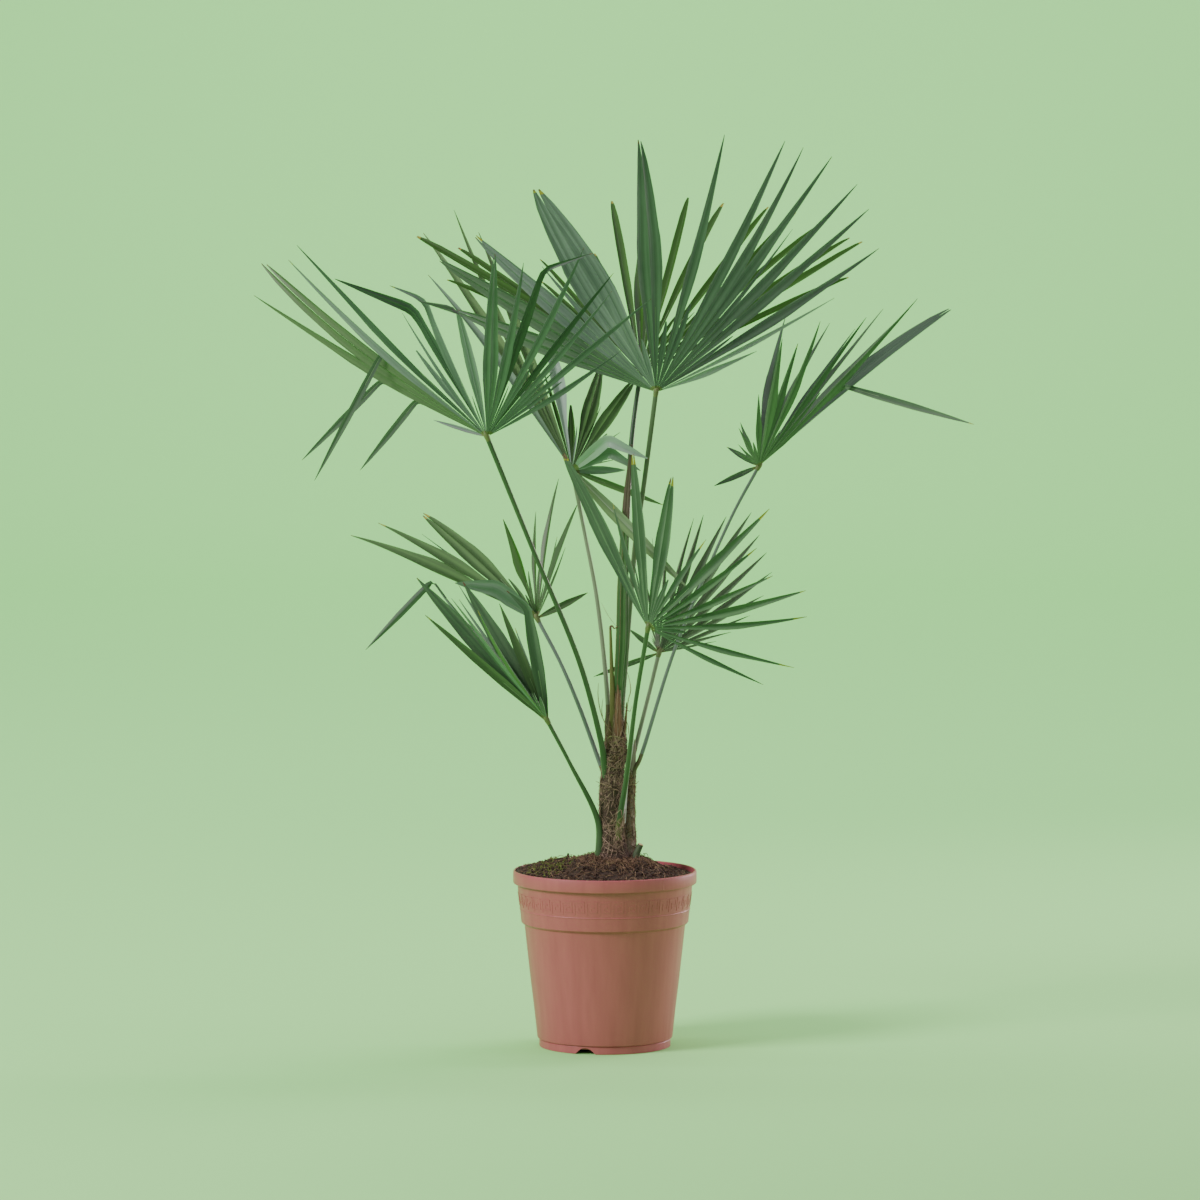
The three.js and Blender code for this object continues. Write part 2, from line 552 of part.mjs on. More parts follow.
palm.add(node("pot", pot(), "pot"), node("soil", soil(), "soil"));
const limbs = [
  { name: "trunk", shape: TRUNK, colour: "trunk" },
  { name: "side_stem", shape: SIDE_STEM, colour: "stem" },
  { name: "cut_stub", shape: STUB, colour: "stub" },
  { name: "spear_leaf", shape: SPEAR, colour: "spear" },
  { name: "dead_stalk", shape: DEAD_STALK, colour: "dry" },
];
for (const leaf of LEAVES) {
  limbs.push({ name: `stalk_${leaf.name}`, shape: stalkLimb(leaf), colour: leaf.stalk });
}
palm.add(...seatLimbs(limbs));
for (const leaf of LEAVES) palm.add(node(`frond_${leaf.name}`, fan(leaf), leaf.blade));
for (const spec of HANGING) palm.add(node(`frond_${spec.name}`, hanging(spec), "mid"));

export default palm;
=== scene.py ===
import math

import bpy
import numpy as np
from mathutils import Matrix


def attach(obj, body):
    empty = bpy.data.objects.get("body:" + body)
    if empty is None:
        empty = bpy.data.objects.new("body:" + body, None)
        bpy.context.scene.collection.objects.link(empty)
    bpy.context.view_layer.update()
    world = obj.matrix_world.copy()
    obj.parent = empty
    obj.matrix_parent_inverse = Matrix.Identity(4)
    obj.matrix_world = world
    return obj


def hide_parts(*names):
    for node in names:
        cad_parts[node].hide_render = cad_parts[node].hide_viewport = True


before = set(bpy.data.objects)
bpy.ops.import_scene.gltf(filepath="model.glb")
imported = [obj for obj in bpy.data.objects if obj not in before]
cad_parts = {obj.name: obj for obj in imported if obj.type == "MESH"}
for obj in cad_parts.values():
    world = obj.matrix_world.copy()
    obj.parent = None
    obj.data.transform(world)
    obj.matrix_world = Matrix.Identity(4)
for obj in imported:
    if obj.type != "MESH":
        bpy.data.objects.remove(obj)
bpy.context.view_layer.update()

# Potted windmill palm. Lengths in the dictionaries are millimetres, and mm turns them into metres.
mm = 0.001


# Small helpers

def linearColour(hexText):  # sRGB hex to linear red, green, blue and a full alpha
    share = np.array([int(hexText[i:i + 2], 16) for i in (1, 3, 5)]) / 255
    linear = np.where(share <= 0.04045, share / 12.92, ((share + 0.055) / 1.055) ** 2.4)
    return (*linear, 1.0)


def addNode(tree, kind, inputs=None, links=None, **settings):
    # one node, with its settings, its input values and the outputs that feed it
    node = tree.nodes.new("ShaderNode" + kind)
    for name, value in settings.items():
        setattr(node, name, value)
    for name, value in (inputs or {}).items():
        node.inputs[name].default_value = value
    for name, source in (links or {}).items():
        tree.links.new(source, node.inputs[name])
    return node


def startMaterial(name, colour, roughness, **sockets):
    # a new material with its colour, its roughness and values for other sockets, their spaces written as _
    material = bpy.data.materials.new(name)
    material.use_nodes = True
    shader = material.node_tree.nodes["Principled BSDF"]
    shader.inputs["Base Color"].default_value = linearColour(colour)
    shader.inputs["Roughness"].default_value = roughness
    for socket, value in sockets.items():
        shader.inputs[socket.replace("_", " ")].default_value = value
    return material, material.node_tree, shader


def unit(vectors):  # each row divided by its length
    return vectors / np.maximum(np.linalg.norm(vectors, axis=-1, keepdims=True), 1e-12)


def heading(turn, lean):  # the angle "turn" in the XZ plane, leaning back to +Y by "lean"
    turn, lean = math.radians(turn), math.radians(lean)
    return np.array([math.cos(turn) * math.cos(lean), math.sin(lean), math.sin(turn) * math.cos(lean)])


def smoothPath(points, count):
    # centripetal spline: point = a + b s + c s^2 + d s^3 on each span, where the speeds at both ends
    # follow from the neighbouring spans' square-rooted lengths
    p = np.asarray(points, float)
    p = np.vstack([2 * p[0] - p[1], p, 2 * p[-1] - p[-2]])
    place = np.linspace(0, len(points) - 1, count)
    span = np.minimum(place.astype(int), len(points) - 2)
    s = (place - span)[:, None]
    x0, x1, x2, x3 = (p[span + i] for i in range(4))
    d0, d1, d2 = (np.linalg.norm(b - a, axis=1, keepdims=True) ** 0.5 for a, b in ((x0, x1), (x1, x2), (x2, x3)))
    speed1 = ((x1 - x0) / d0 - (x2 - x0) / (d0 + d1) + (x2 - x1) / d1) * d1
    speed2 = ((x2 - x1) / d1 - (x3 - x1) / (d1 + d2) + (x3 - x2) / d2) * d1
    return x1 + speed1 * s + (3 * (x2 - x1) - 2 * speed1 - speed2) * s ** 2 + (2 * (x1 - x2) + speed1 + speed2) * s ** 3


def lengthAlong(path):  # sum of the steps up to each point
    return np.concatenate([[0], np.cumsum(np.linalg.norm(np.diff(path, axis=0), axis=1))])


def carriedFrame(path):
    # two ways square to a path: across starts towards +X and is carried on with the least turn, and out is
    # square to it
    along = unit(np.gradient(path, axis=0))
    across = np.empty_like(along)
    last = np.array([1.0, 0, 0])
    for i, way in enumerate(along):
        last = last - way * (last @ way)
        last = last / np.linalg.norm(last)
        across[i] = last
    return across, np.cross(along, across)


def gridQuads(rows, columns, closed):
    # quads of a grid whose rows follow the path and whose columns go round or across
    turnsRound = columns if closed else columns - 1
    i, k = np.meshgrid(np.arange(rows - 1), np.arange(turnsRound), indexing="ij")
    i, k = i.ravel(), k.ravel()
    following = (k + 1) % columns
    return np.stack([i * columns + k, (i + 1) * columns + k, (i + 1) * columns + following, i * columns + following], 1)


def tubePatch(path, radii, sides, flat=0.0, relief=0.0, slot=0):
    # tube: path + (radius + relief) (across cos a + out sin a), squeezed by "flat", with a cap on both ends
    count = len(path)
    across, out = carriedFrame(path)
    angle = np.arange(sides) / sides * 2 * math.pi
    radius = np.asarray(radii, float)[:, None] + relief
    ring = (across[:, None] * (np.cos(angle) * (1 + flat))[None, :, None]
            + out[:, None] * (np.sin(angle) * (1 - flat))[None, :, None])
    points = path[:, None] + ring * radius[:, :, None]
    quads = gridQuads(count, sides, True)[:, ::-1]
    middle = np.stack([path[0], path[-1]])
    first, end = np.arange(sides), np.full(sides, count * sides)
    last = first + (count - 1) * sides
    quads = np.concatenate([quads, np.stack([np.roll(first, -1), first, end, end], 1),
                            np.stack([last, np.roll(last, -1), end + 1, end + 1], 1)])
    around = np.tile(angle / (2 * math.pi), (count, 1))
    length = lengthAlong(path)
    uv = np.stack([around, np.tile(length[:, None] * 10, (1, sides))], -1).reshape(-1, 2)
    return (np.concatenate([points.reshape(-1, 3), middle]), quads, np.full(len(quads), slot),
            np.concatenate([uv, [[0.5, 0], [0.5, length[-1] * 10]]]))


def makePiece(name, patches, materials, replaces=(), sharp=38):
    # one mesh object out of patches of (points, quads, material number of each quad, uv of each point), where a
    # triangle is a quad with its last corner twice, and edges steeper than "sharp" degrees stay crisp
    counts = np.cumsum([0] + [len(p[0]) for p in patches])
    points = np.concatenate([p[0] for p in patches])
    quads = np.concatenate([p[1] + start for p, start in zip(patches, counts)])
    numbers = np.concatenate([p[2] for p in patches])
    uv = np.concatenate([p[3] for p in patches])
    used, numbers = np.unique(numbers, return_inverse=True)
    mesh = bpy.data.meshes.new(name)
    isTriangle = quads[:, 2] == quads[:, 3]
    sizes = np.where(isTriangle, 3, 4)
    keep = np.ones(quads.shape, bool)
    keep[isTriangle, 3] = False
    corners = quads[keep]
    mesh.vertices.add(len(points))
    mesh.vertices.foreach_set("co", points.astype(np.float32).ravel())
    mesh.loops.add(len(corners))
    mesh.loops.foreach_set("vertex_index", corners.astype(np.int32))
    mesh.polygons.add(len(quads))
    mesh.polygons.foreach_set("loop_start", np.concatenate([[0], np.cumsum(sizes)[:-1]]).astype(np.int32))
    mesh.polygons.foreach_set("material_index", numbers.astype(np.int32))
    mesh.uv_layers.new(name="UVMap").data.foreach_set("uv", uv[corners].astype(np.float32).ravel())
    mesh.update(calc_edges=True)
    mesh.validate()
    mesh.shade_smooth()
    mesh.set_sharp_from_angle(angle=math.radians(sharp))
    for number in used:
        mesh.materials.append(materials[number])
    piece = bpy.data.objects.new(name, mesh)
    bpy.context.scene.collection.objects.link(piece)
    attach(piece, "root")
    if replaces:
        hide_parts(*replaces)


# Materials

def finishMaterial(tree, shader, colour, second, factor, limits, height, strength, depth):
    # relief from "height", its depth in millimetres, and the second colour where "factor" is high in its limits
    bump = addNode(tree, "Bump", {"Strength": strength, "Distance": depth * mm}, {"Height": height})
    tree.links.new(bump.outputs[0], shader.inputs["Normal"])
    if second:
        share = addNode(tree, "MapRange", limits, {"Value": factor})
        mixed = addNode(tree, "Mix", {6: linearColour(colour), 7: linearColour(second)},
                        {0: share.outputs[0]}, data_type="RGBA")
        tree.links.new(mixed.outputs[2], shader.inputs["Base Color"])


def leafMaterial(name, colour, second, roughness, veins):
    # living palm leaf with a thin wax: satin, with veins along each leaflet and an uneven green that keeps the
    # blade from looking like paper; "veins" is their relief in millimetres
    material, tree, shader = startMaterial(name, colour, roughness, Specular_IOR_Level=0.32)
    surface = addNode(tree, "TexCoord")
    # real veins lie under 1 mm apart; these are drawn about 3 mm apart, so that they show, and 170 mm long
    stretched = addNode(tree, "Mapping", {"Scale": (3.4, 0.06, 1)}, {"Vector": surface.outputs["UV"]})
    lines = addNode(tree, "TexNoise", {"Scale": 1, "Detail": 2}, {"Vector": stretched.outputs[0]})
    # 24 patches to the metre, each about 40 mm
    patches = addNode(tree, "TexNoise", {"Scale": 24, "Detail": 3}, {"Vector": surface.outputs["Object"]})
    both = addNode(tree, "Math", operation="MULTIPLY_ADD", inputs={1: 0.4},
                   links={0: patches.outputs["Fac"], 2: lines.outputs["Fac"]})
    limits = {"From Min": 0.52, "From Max": 0.88, "To Min": 0.2, "To Max": 0.85}
    finishMaterial(tree, shader, colour, second, both.outputs[0], limits, lines.outputs["Fac"], 0.5, veins)
    return material


def plainMaterial(name, colour, roughness, grain, depth, second=None):
    # matt natural surface, such as bast, peat or dry leaf: its grain, of the given size and depth in
    # millimetres, breaks the light and, with a second colour, tints it as well
    material, tree, shader = startMaterial(name, colour, roughness)
    surface = addNode(tree, "TexCoord")
    noise = addNode(tree, "TexNoise", {"Scale": 1 / (grain * mm), "Detail": 4, "Roughness": 0.6},
                    {"Vector": surface.outputs["Object"]})
    finishMaterial(tree, shader, colour, second, noise.outputs["Fac"], {"From Min": 0.35, "From Max": 0.68},
                   noise.outputs["Fac"], 0.7, depth)
    return material


def potMaterial():
    # injection-moulded polypropylene in terracotta: satin, with faint upright flow streaks about 6 mm apart
    # that change its shine, and a moulding grain drawn about 1 mm wide, coarser than a real one, so that it shows
    material, tree, shader = startMaterial("polypropylene terracotta", "#A15358", 0.4, IOR=1.49)
    surface = addNode(tree, "TexCoord")
    upright = addNode(tree, "Mapping", {"Scale": (1, 1, 0.06)}, {"Vector": surface.outputs["Object"]})
    streaks = addNode(tree, "TexNoise", {"Scale": 160, "Detail": 3}, {"Vector": upright.outputs[0]})
    fine = addNode(tree, "TexNoise", {"Scale": 900, "Detail": 2}, {"Vector": surface.outputs["Object"]})
    dull = addNode(tree, "MapRange", {"To Min": 0.34, "To Max": 0.5}, {"Value": streaks.outputs["Fac"]})
    tree.links.new(dull.outputs[0], shader.inputs["Roughness"])
    finishMaterial(tree, shader, "#AA595E", "#9F5056", streaks.outputs["Fac"], {"From Min": 0.3, "From Max": 0.75},
                   fine.outputs["Fac"], 0.25, 0.15)
    return material


# Tones of the blades: the first colour is the ground, the second the paler patches. The wax makes the upper
# side blue green and the underside nearly white; young blades are clearer green, and dead tips turn yellow, then
# brown.
leafTones = {
    "deep": leafMaterial("waxy leaf blue green", "#394D43", "#778B7F", 0.45, 0.35),
    "mid": leafMaterial("waxy leaf green", "#294030", "#5C785A", 0.45, 0.35),
    "fresh": leafMaterial("waxy leaf fresh green", "#2A4628", "#587E4C", 0.45, 0.35),
    "sunny": leafMaterial("waxy leaf warm green", "#24441E", "#4C7A3A", 0.6, 0.35),
    "young": leafMaterial("waxy leaf young green", "#3A5A34", "#6C9458", 0.5, 0.35),
    "dark": leafMaterial("waxy leaf dark green", "#22382A", "#446048", 0.4, 0.35),
    "light": leafMaterial("waxy leaf light green", "#385232", "#567049", 0.45, 0.35),
    "bright": leafMaterial("young leaf bright green", "#1C420B", "#356619", 0.4, 0.35),
    "under": leafMaterial("leaf underside with white bloom", "#7C9A86", "#A6BFAE", 0.55, 0.3),
    "dull": leafMaterial("leaf underside green", "#4E6E54", "#76967A", 0.5, 0.3),
    "rib": plainMaterial("leaf rib pale green", "#6F8C64", 0.5, 4, 0.05),
    "heart": plainMaterial("leaf heart dry green", "#66703E", 0.6, 5, 0.1, "#55683A"),
    "yellow": plainMaterial("leaf tip turned yellow", "#8C8A2A", 0.6, 3, 0.1),
    "brown": plainMaterial("leaf tip dried brown", "#5A4034", 0.8, 2, 0.1, "#7C6048"),
}
toneNames = list(leafTones)
leafMaterials = list(leafTones.values())
# Leaf stalks: smooth and hard, a little glossier than the blades, with a painted highlight down their right side and a
# foot that turns brown
stalkTones = {
    "green": leafMaterial("leaf stalk green", "#2E4C30", "#4E6A42", 0.4, 0.2),
    "dark": leafMaterial("leaf stalk dark green", "#2C4632", "#42603F", 0.4, 0.2),
    "yellow": leafMaterial("leaf stalk yellow green", "#425E40", "#6A7A58", 0.45, 0.2),
    "beige": leafMaterial("leaf stalk pale", "#5E7258", "#929C80", 0.5, 0.2),
    "blue": leafMaterial("leaf stalk with white bloom", "#505F55", "#7A8C82", 0.5, 0.2),
    # the pale edge colour is a painted highlight: the rim light's gleam on the stalk's right side
    "edge": plainMaterial("leaf stalk painted rim highlight", "#8C9F80", 0.5, 3, 0.05, "#A5AFA4"),
    "foot": leafMaterial("leaf stalk foot browning", "#4E4A34", "#7C7860", 0.7, 0.3),
}
stalkMaterials = list(stalkTones.values())
stalkNames = list(stalkTones)
potPlastic = potMaterial()
print("materials are made")


# Pot: a profile of (radius, height) carried round, its foot lifted over the drain notches. The foot is what lies
# between the radii footRing and lower than footTop, and notchFirst is in degrees.

pot = dict(
    steps=360, notches=3, notchFirst=-107.4, notchHalfWidth=7.2, notchHeight=4.6, notchRadius=45.7,
    footRing=(44, 47), footTop=5,
    profile=[(0, 3), (43.6, 3), (44.4, 0.5), (44.8, 0), (46.6, 0), (46.9, 0.4), (46.95, 5), (46.7, 5.4), (47.2, 5.9),
             (48.1, 6.3), (48.4, 7.5), (50.5, 27), (53, 47.5), (55.3, 68), (57.3, 86.6), (57.5, 87.5), (58.9, 88.4),
             (59.6, 89.2), (59.7, 90.2), (60.55, 98), (60.8, 98.3), (60.8, 98.7), (60.62, 99), (61.2, 104),
             (61.8, 109), (62.35, 115.6), (62.6, 116.7), (64.6, 116.8), (65.2, 117.2), (65.4, 118), (65.4, 124.5),
             (65.2, 125.5), (64.7, 126), (64.2, 126), (63.95, 125.6), (63.9, 118.6), (61.3, 115.8), (58.4, 90.2),
             (56.3, 87.6), (46.9, 6.3), (45.6, 5), (0, 5)])


def lathePatch(profile, steps, lift):
    # a profile (radius, height) carried round the upright axis, its height changed by lift(angle, radius, height)
    profile = np.asarray(profile, float)
    angle = np.arange(steps) / steps * 2 * math.pi
    r = np.repeat(profile[:, 0][:, None], steps, 1)
    z = lift(angle[None, :], r, np.repeat(profile[:, 1][:, None], steps, 1))
    points = np.stack([r * np.cos(angle), r * np.sin(angle), z], -1).reshape(-1, 3) * mm
    quads = gridQuads(len(profile), steps, True)[:, ::-1]
    uv = np.stack(np.broadcast_arrays(angle[None, :] / (2 * math.pi), np.arange(len(profile))[:, None] * 1.0), -1)
    return points, quads, np.zeros(len(quads), int), uv.reshape(-1, 2)


def notchLift(angle, r, z):
    # arches: z is never lower than height * (1 - (x / half width)^2) near a notch
    first = math.radians(pot["notchFirst"])
    spacing = 2 * math.pi / pot["notches"]
    offset = ((angle - first + spacing / 2) % spacing - spacing / 2) * pot["notchRadius"]
    arch = pot["notchHeight"] * np.clip(1 - (offset / pot["notchHalfWidth"]) ** 2, 0, 1)
    inner, outer = pot["footRing"]
    return np.where((r > inner) & (r < outer) & (z < pot["footTop"]), np.maximum(z, arch), z)


makePiece("potShell", [lathePatch(pot["profile"], pot["steps"], notchLift)], [potPlastic], ["pot"], 30)

# Embossed key band on the collar: a squared hook in each field, as raised bars that follow the cone. The hook's
# corners are shares of a field's width and height, bars longer than longBar of a field are bent in three
# lengths, and their feet are sunk into the wall.
keyBand = dict(fields=42, low=101.4, high=109.8, lowRadius=60.88, highRadius=61.85, bar=1.2, raised=0.22, sunk=0.4,
               longBar=0.3, hook=[(0.1, 0), (0.1, 1), (0.86, 1), (0.86, 0.2), (0.4, 0.2), (0.4, 0.62), (0.62, 0.62)])


def keyBandPatch():
    # each bar is a box from (u, v) to (u2, v2) of its field, bent round the collar in short lengths
    corners = []
    hook = np.array(keyBand["hook"])
    height = keyBand["high"] - keyBand["low"]
    width = 2 * math.pi * keyBand["lowRadius"] / keyBand["fields"]
    halfBar = np.array([keyBand["bar"] / 2 / width, keyBand["bar"] / 2 / height])
    for a, b in zip(hook[:-1], hook[1:]):
        low, high = np.minimum(a, b) - halfBar, np.maximum(a, b) + halfBar
        pieces = 3 if abs(a[0] - b[0]) > keyBand["longBar"] else 1
        edges = np.linspace(low[0], high[0], pieces + 1)
        corners += [(edges[i], edges[i + 1], low[1], high[1]) for i in range(pieces)]
    corners = np.array(corners)
    field = np.arange(keyBand["fields"])[:, None]
    u0, u1 = (corners[:, i][None, :] + field for i in (0, 1))
    v0, v1 = (np.broadcast_to(corners[:, i][None, :], u0.shape) for i in (2, 3))
    u = np.stack([u0, u1, u1, u0] * 2, -1).reshape(-1, 8)
    v = np.stack([v0, v0, v1, v1] * 2, -1).reshape(-1, 8)
    out = np.array([-keyBand["sunk"]] * 4 + [keyBand["raised"]] * 4)
    angle = u / keyBand["fields"] * 2 * math.pi
    radius = keyBand["lowRadius"] + (keyBand["highRadius"] - keyBand["lowRadius"]) * v + out
    points = np.stack([radius * np.cos(angle), radius * np.sin(angle), keyBand["low"] + height * v], -1)
    box = np.array([[4, 5, 6, 7], [0, 3, 2, 1], [0, 1, 5, 4], [1, 2, 6, 5], [2, 3, 7, 6], [3, 0, 4, 7]])
    quads = (box[None] + 8 * np.arange(len(u))[:, None, None]).reshape(-1, 4)
    return points.reshape(-1, 3) * mm, quads, np.zeros(len(quads), int), np.zeros((len(u) * 8, 2))


makePiece("potKeyBand", [keyBandPatch()], [potPlastic])

# Upright line on the rim where the two halves of the mould met, its angle in degrees
mouldLine = dict(low=117.3, high=125.4, radius=65.25, angle=-51, halfWidth=0.35, rows=12)
seamAngle = math.radians(mouldLine["angle"])
seamPath = np.stack([np.full(mouldLine["rows"], mouldLine["radius"] * math.cos(seamAngle)),
                     np.full(mouldLine["rows"], mouldLine["radius"] * math.sin(seamAngle)),
                     np.linspace(mouldLine["low"], mouldLine["high"], mouldLine["rows"])], 1) * mm
makePiece("potMouldLine", [tubePatch(seamPath, np.full(mouldLine["rows"], mouldLine["halfWidth"] * mm), 6)],
          [potPlastic])
print("pot is made")


# Soil: a mound of damp peat with crumbs, root fibres, moss and bits of twig. It is flat within flatRadius and
# falls to the edge over the length of its slope; the bank makes it higher on the left, and nothing loose lies
# beyond crumbLimit or threadLimit, so that it stays inside the pot's wall.

soil = dict(seed=11, rings=70, steps=220, top=133.2, edge=122.8, bottom=112, edgeRadius=63.2, flatRadius=20,
            slope=42, lumps=2.1, bank=2.6, crumbs=1500, squash=0.75, fibres=620, moss=130, crumbLimit=61.5,
            threadLimit=62.3)
# Peat and bark drink the light and stay matt; dry crumbs, fibre, straw and moss give it paler specks
peat = plainMaterial("damp peat", "#2B2119", 0.95, 2.2, 1.2, "#4A3A2C")
peatLight = plainMaterial("dry peat crumb", "#54412F", 0.95, 1.5, 0.5, "#3A2C20")
rootFibre = plainMaterial("coir fibre", "#7A6248", 0.85, 2, 0.1, "#5A4634")
mossGreen = plainMaterial("moss", "#4E5A24", 0.9, 1.5, 0.4, "#78883A")


def waves(x, y, z, seed, count=24, low=0.05, high=0.5):
    # sum of sines in random directions and phases: the waves are 2 pi / low down to 2 pi / high millimetres long,
    # and the shorter they are, the lower
    rng = np.random.default_rng(seed)
    total = 0
    for _ in range(count):
        size = math.exp(rng.uniform(math.log(low), math.log(high)))
        way = unit(rng.normal(size=3)) * size
        total = total + np.sin(x * way[0] + y * way[1] + z * way[2] + rng.uniform(0, 6.28)) * (low / size) ** 0.6
    return total / math.sqrt(count)


def soilHeight(x, y):
    # cosine mound, plus uneven lumps that fade towards the wall, plus the bank
    r = np.hypot(x, y)
    fall = np.clip((r - soil["flatRadius"]) / soil["slope"], 0, 1)
    mound = soil["edge"] + (soil["top"] - soil["edge"]) * (0.5 + 0.5 * np.cos(fall * math.pi))
    lumps = waves(x, y, 0 * x, 3, 30, 0.12, 1.6) * soil["lumps"] * np.clip((62.5 - r) / 6, 0.25, 1)
    banked = soil["bank"] * np.clip((-x - 5) / 40, 0, 1) * np.clip((r - soil["flatRadius"]) / 20, 0, 1)
    return mound + lumps + banked


def soilPatch():
    # rings of the mound's height, closed below by a skirt and a bottom
    r = np.linspace(0, 1, soil["rings"]) ** 0.8 * soil["edgeRadius"]
    angle = np.arange(soil["steps"]) / soil["steps"] * 2 * math.pi
    x, y = r[:, None] * np.cos(angle), r[:, None] * np.sin(angle)
    top = np.stack([x, y, soilHeight(x, y)], -1)
    bottom = np.full(soil["steps"], float(soil["bottom"]))
    skirt = np.stack([x[-1], y[-1], bottom], -1) * [0.94, 0.94, 1]
    middle = np.stack([x[-1] * 0, y[-1] * 0, bottom], -1)
    points = np.concatenate([top, skirt[None], middle[None]])
    quads = gridQuads(soil["rings"] + 2, soil["steps"], True)
    uv = points[..., :2].reshape(-1, 2) * mm
    return points.reshape(-1, 3) * mm, quads, np.zeros(len(quads), int), uv


def scatter(rng, count, limit, centre):  # evenly over a disc: radius = limit * sqrt(random)
    r = limit * np.sqrt(rng.uniform(0, 1, count))
    angle = rng.uniform(0, 2 * math.pi, count)
    return centre[0] + r * np.cos(angle), centre[1] + r * np.sin(angle)


def crumbPatch(rng, count, smallest, largest, limit, slot=0, centre=(0, 0)):
    # each crumb is a cube of 24 faces blown to a ball, its corners pushed in and out at random, and it lies on
    # the mound within the limit from the centre
    side = np.array([-1.0, 0, 1])
    cube = np.array([(a, b, c) for a in side for b in side for c in side if max(abs(a), abs(b), abs(c)) == 1])
    ball = unit(cube)
    index = {tuple(p): i for i, p in enumerate(cube)}
    faces = []
    for axis in range(3):
        for sign in (-1, 1):
            for a in (-1, 0):
                for b in (-1, 0):
                    corner = [(a, b), (a + 1, b), (a + 1, b + 1), (a, b + 1)]
                    face = [index[tuple(np.insert(np.array(c, float), axis, sign))] for c in corner]
                    faces.append(face if (sign == 1) != (axis == 1) else face[::-1])
    faces = np.array(faces)
    size = rng.uniform(smallest, largest, (count, 1, 1)) * rng.uniform(0.6, 1, (count, 1, 1))
    shape = ball[None] * (1 + rng.normal(0, 0.2, (count, len(ball), 1))) * size
    shape = shape * rng.uniform(0.6, 1.2, (count, 1, 3)) * [1, 1, soil["squash"]]
    x, y = scatter(rng, count, limit, centre)
    z = soilHeight(x, y) + size[:, 0, 0] * 0.2
    points = shape + np.stack([x, y, z], 1)[:, None]
    quads = (faces[None] + len(ball) * np.arange(count)[:, None, None]).reshape(-1, 4)
    return points.reshape(-1, 3) * mm, quads, np.full(len(quads), slot), points.reshape(-1, 3)[:, :2] * mm


def threadPatch(paths, radius, slot=0):
    # three-sided threads along paths of equally many points: path + radius (side cos a + out sin a), thinner
    # towards both ends
    count, steps = paths.shape[:2]
    along = unit(np.gradient(paths, axis=1))
    side = unit(np.cross(along, [0.31, 0.52, 0.79]))
    out = np.cross(along, side)
    taper = np.sin(np.linspace(0.12, math.pi - 0.12, steps))[None, :, None] ** 0.6
    width = np.reshape(radius, (-1, 1, 1)) * taper
    rings = [paths + (side * math.cos(a) + out * math.sin(a)) * width for a in (0, 2.094, 4.189)]
    points = np.stack(rings, 2).reshape(-1, 3)
    one = gridQuads(steps, 3, True)[:, ::-1]
    last = (steps - 1) * 3
    caps = np.array([[0, 2, 1, 1], [last, last + 1, last + 2, last + 2]])
    one = np.concatenate([one, caps])
    quads = (one[None] + steps * 3 * np.arange(count)[:, None, None]).reshape(-1, 4)
    return points * mm, quads, np.full(len(quads), slot), np.zeros((len(points), 2))


def soilThreads(rng, count, longest, radius, limit, slot=0, centre=(0, 0), rise=2.0):
    # short curved threads that lie on the mound and lift a little in the middle
    x, y = scatter(rng, count, limit, centre)
    wander = rng.uniform(0, 2 * math.pi, count)[:, None] + np.linspace(0, 1, 7)[None] * rng.normal(0, 1.3, (count, 1))
    step = rng.uniform(0.35, 1, (count, 1)) * longest / 6
    x = x[:, None] + np.cumsum(np.cos(wander) * step, 1)
    y = y[:, None] + np.cumsum(np.sin(wander) * step, 1)
    shrink = np.minimum(1, soil["threadLimit"] / np.maximum(np.hypot(x, y), 1))
    x, y = x * shrink, y * shrink
    lift = np.sin(np.linspace(0, math.pi, 7))[None] * rng.uniform(0, 1, (count, 1)) * rise
    z = soilHeight(x, y) + 0.2 + lift
    return threadPatch(np.stack([x, y, z], -1), rng.uniform(0.5, 1, count) * radius, slot)


# Crumbs are given as how many, the smallest, the largest, the limit, colour and centre, and threads as how many,
# the longest, the thickest radius, the limit, colour, centre and rise
rng = np.random.default_rng(soil["seed"])
makePiece("soilMound", [soilPatch()], [peat], ["soil"], 60)
makePiece("soilCrumbs", [crumbPatch(rng, soil["crumbs"], 0.5, 2.3, soil["crumbLimit"], 0),
                         crumbPatch(rng, soil["crumbs"] // 2, 0.5, 1.6, soil["crumbLimit"], 1)],
          [peat, peatLight])
makePiece("soilFibres", [soilThreads(rng, soil["fibres"], 13, 0.22, 60, 0),
                         soilThreads(rng, soil["fibres"], 9, 0.3, 30, 0, (6, -4), 3.5)], [rootFibre])
straw = plainMaterial("straw fibre", "#9A8562", 0.85, 2, 0.1, "#7A6848")
makePiece("soilStraw", [soilThreads(rng, soil["fibres"] // 3, 10, 0.22, 58, 0, rise=3)], [straw])
makePiece("soilMoss", [crumbPatch(rng, soil["moss"], 0.4, 1.3, 15, 0, (-40, -18)),
                       crumbPatch(rng, soil["moss"] // 3, 0.4, 1.1, 12, 0, (-28, 20)),
                       soilThreads(rng, soil["moss"], 5, 0.3, 18, 0, (-38, -14), 2.5)], [mossGreen])
# Two bits of bark that stick out of the mound: their points and the radii at both ends
twigs = [dict(points=[(-27, 2, 128), (-26.6, 2, 132), (-26.2, 1.6, 137.5)], radii=(1.5, 0.7)),
         dict(points=[(-13.5, -4, 130), (-13.2, -4, 134), (-11.8, -4, 136.5)], radii=(1.9, 1.0))]
bark = plainMaterial("bark chip", "#241A14", 0.9, 2, 0.3)
makePiece("soilTwigs", [tubePatch(smoothPath(twig["points"], 9) * mm, np.linspace(*twig["radii"], 9) * mm, 8)
                        for twig in twigs], [bark])
print("soil is made")


# Trunk: a fibrous core, old sheath pieces, wound fibres and loose hairs. A limb is the points of its axis and the
# radii along it.

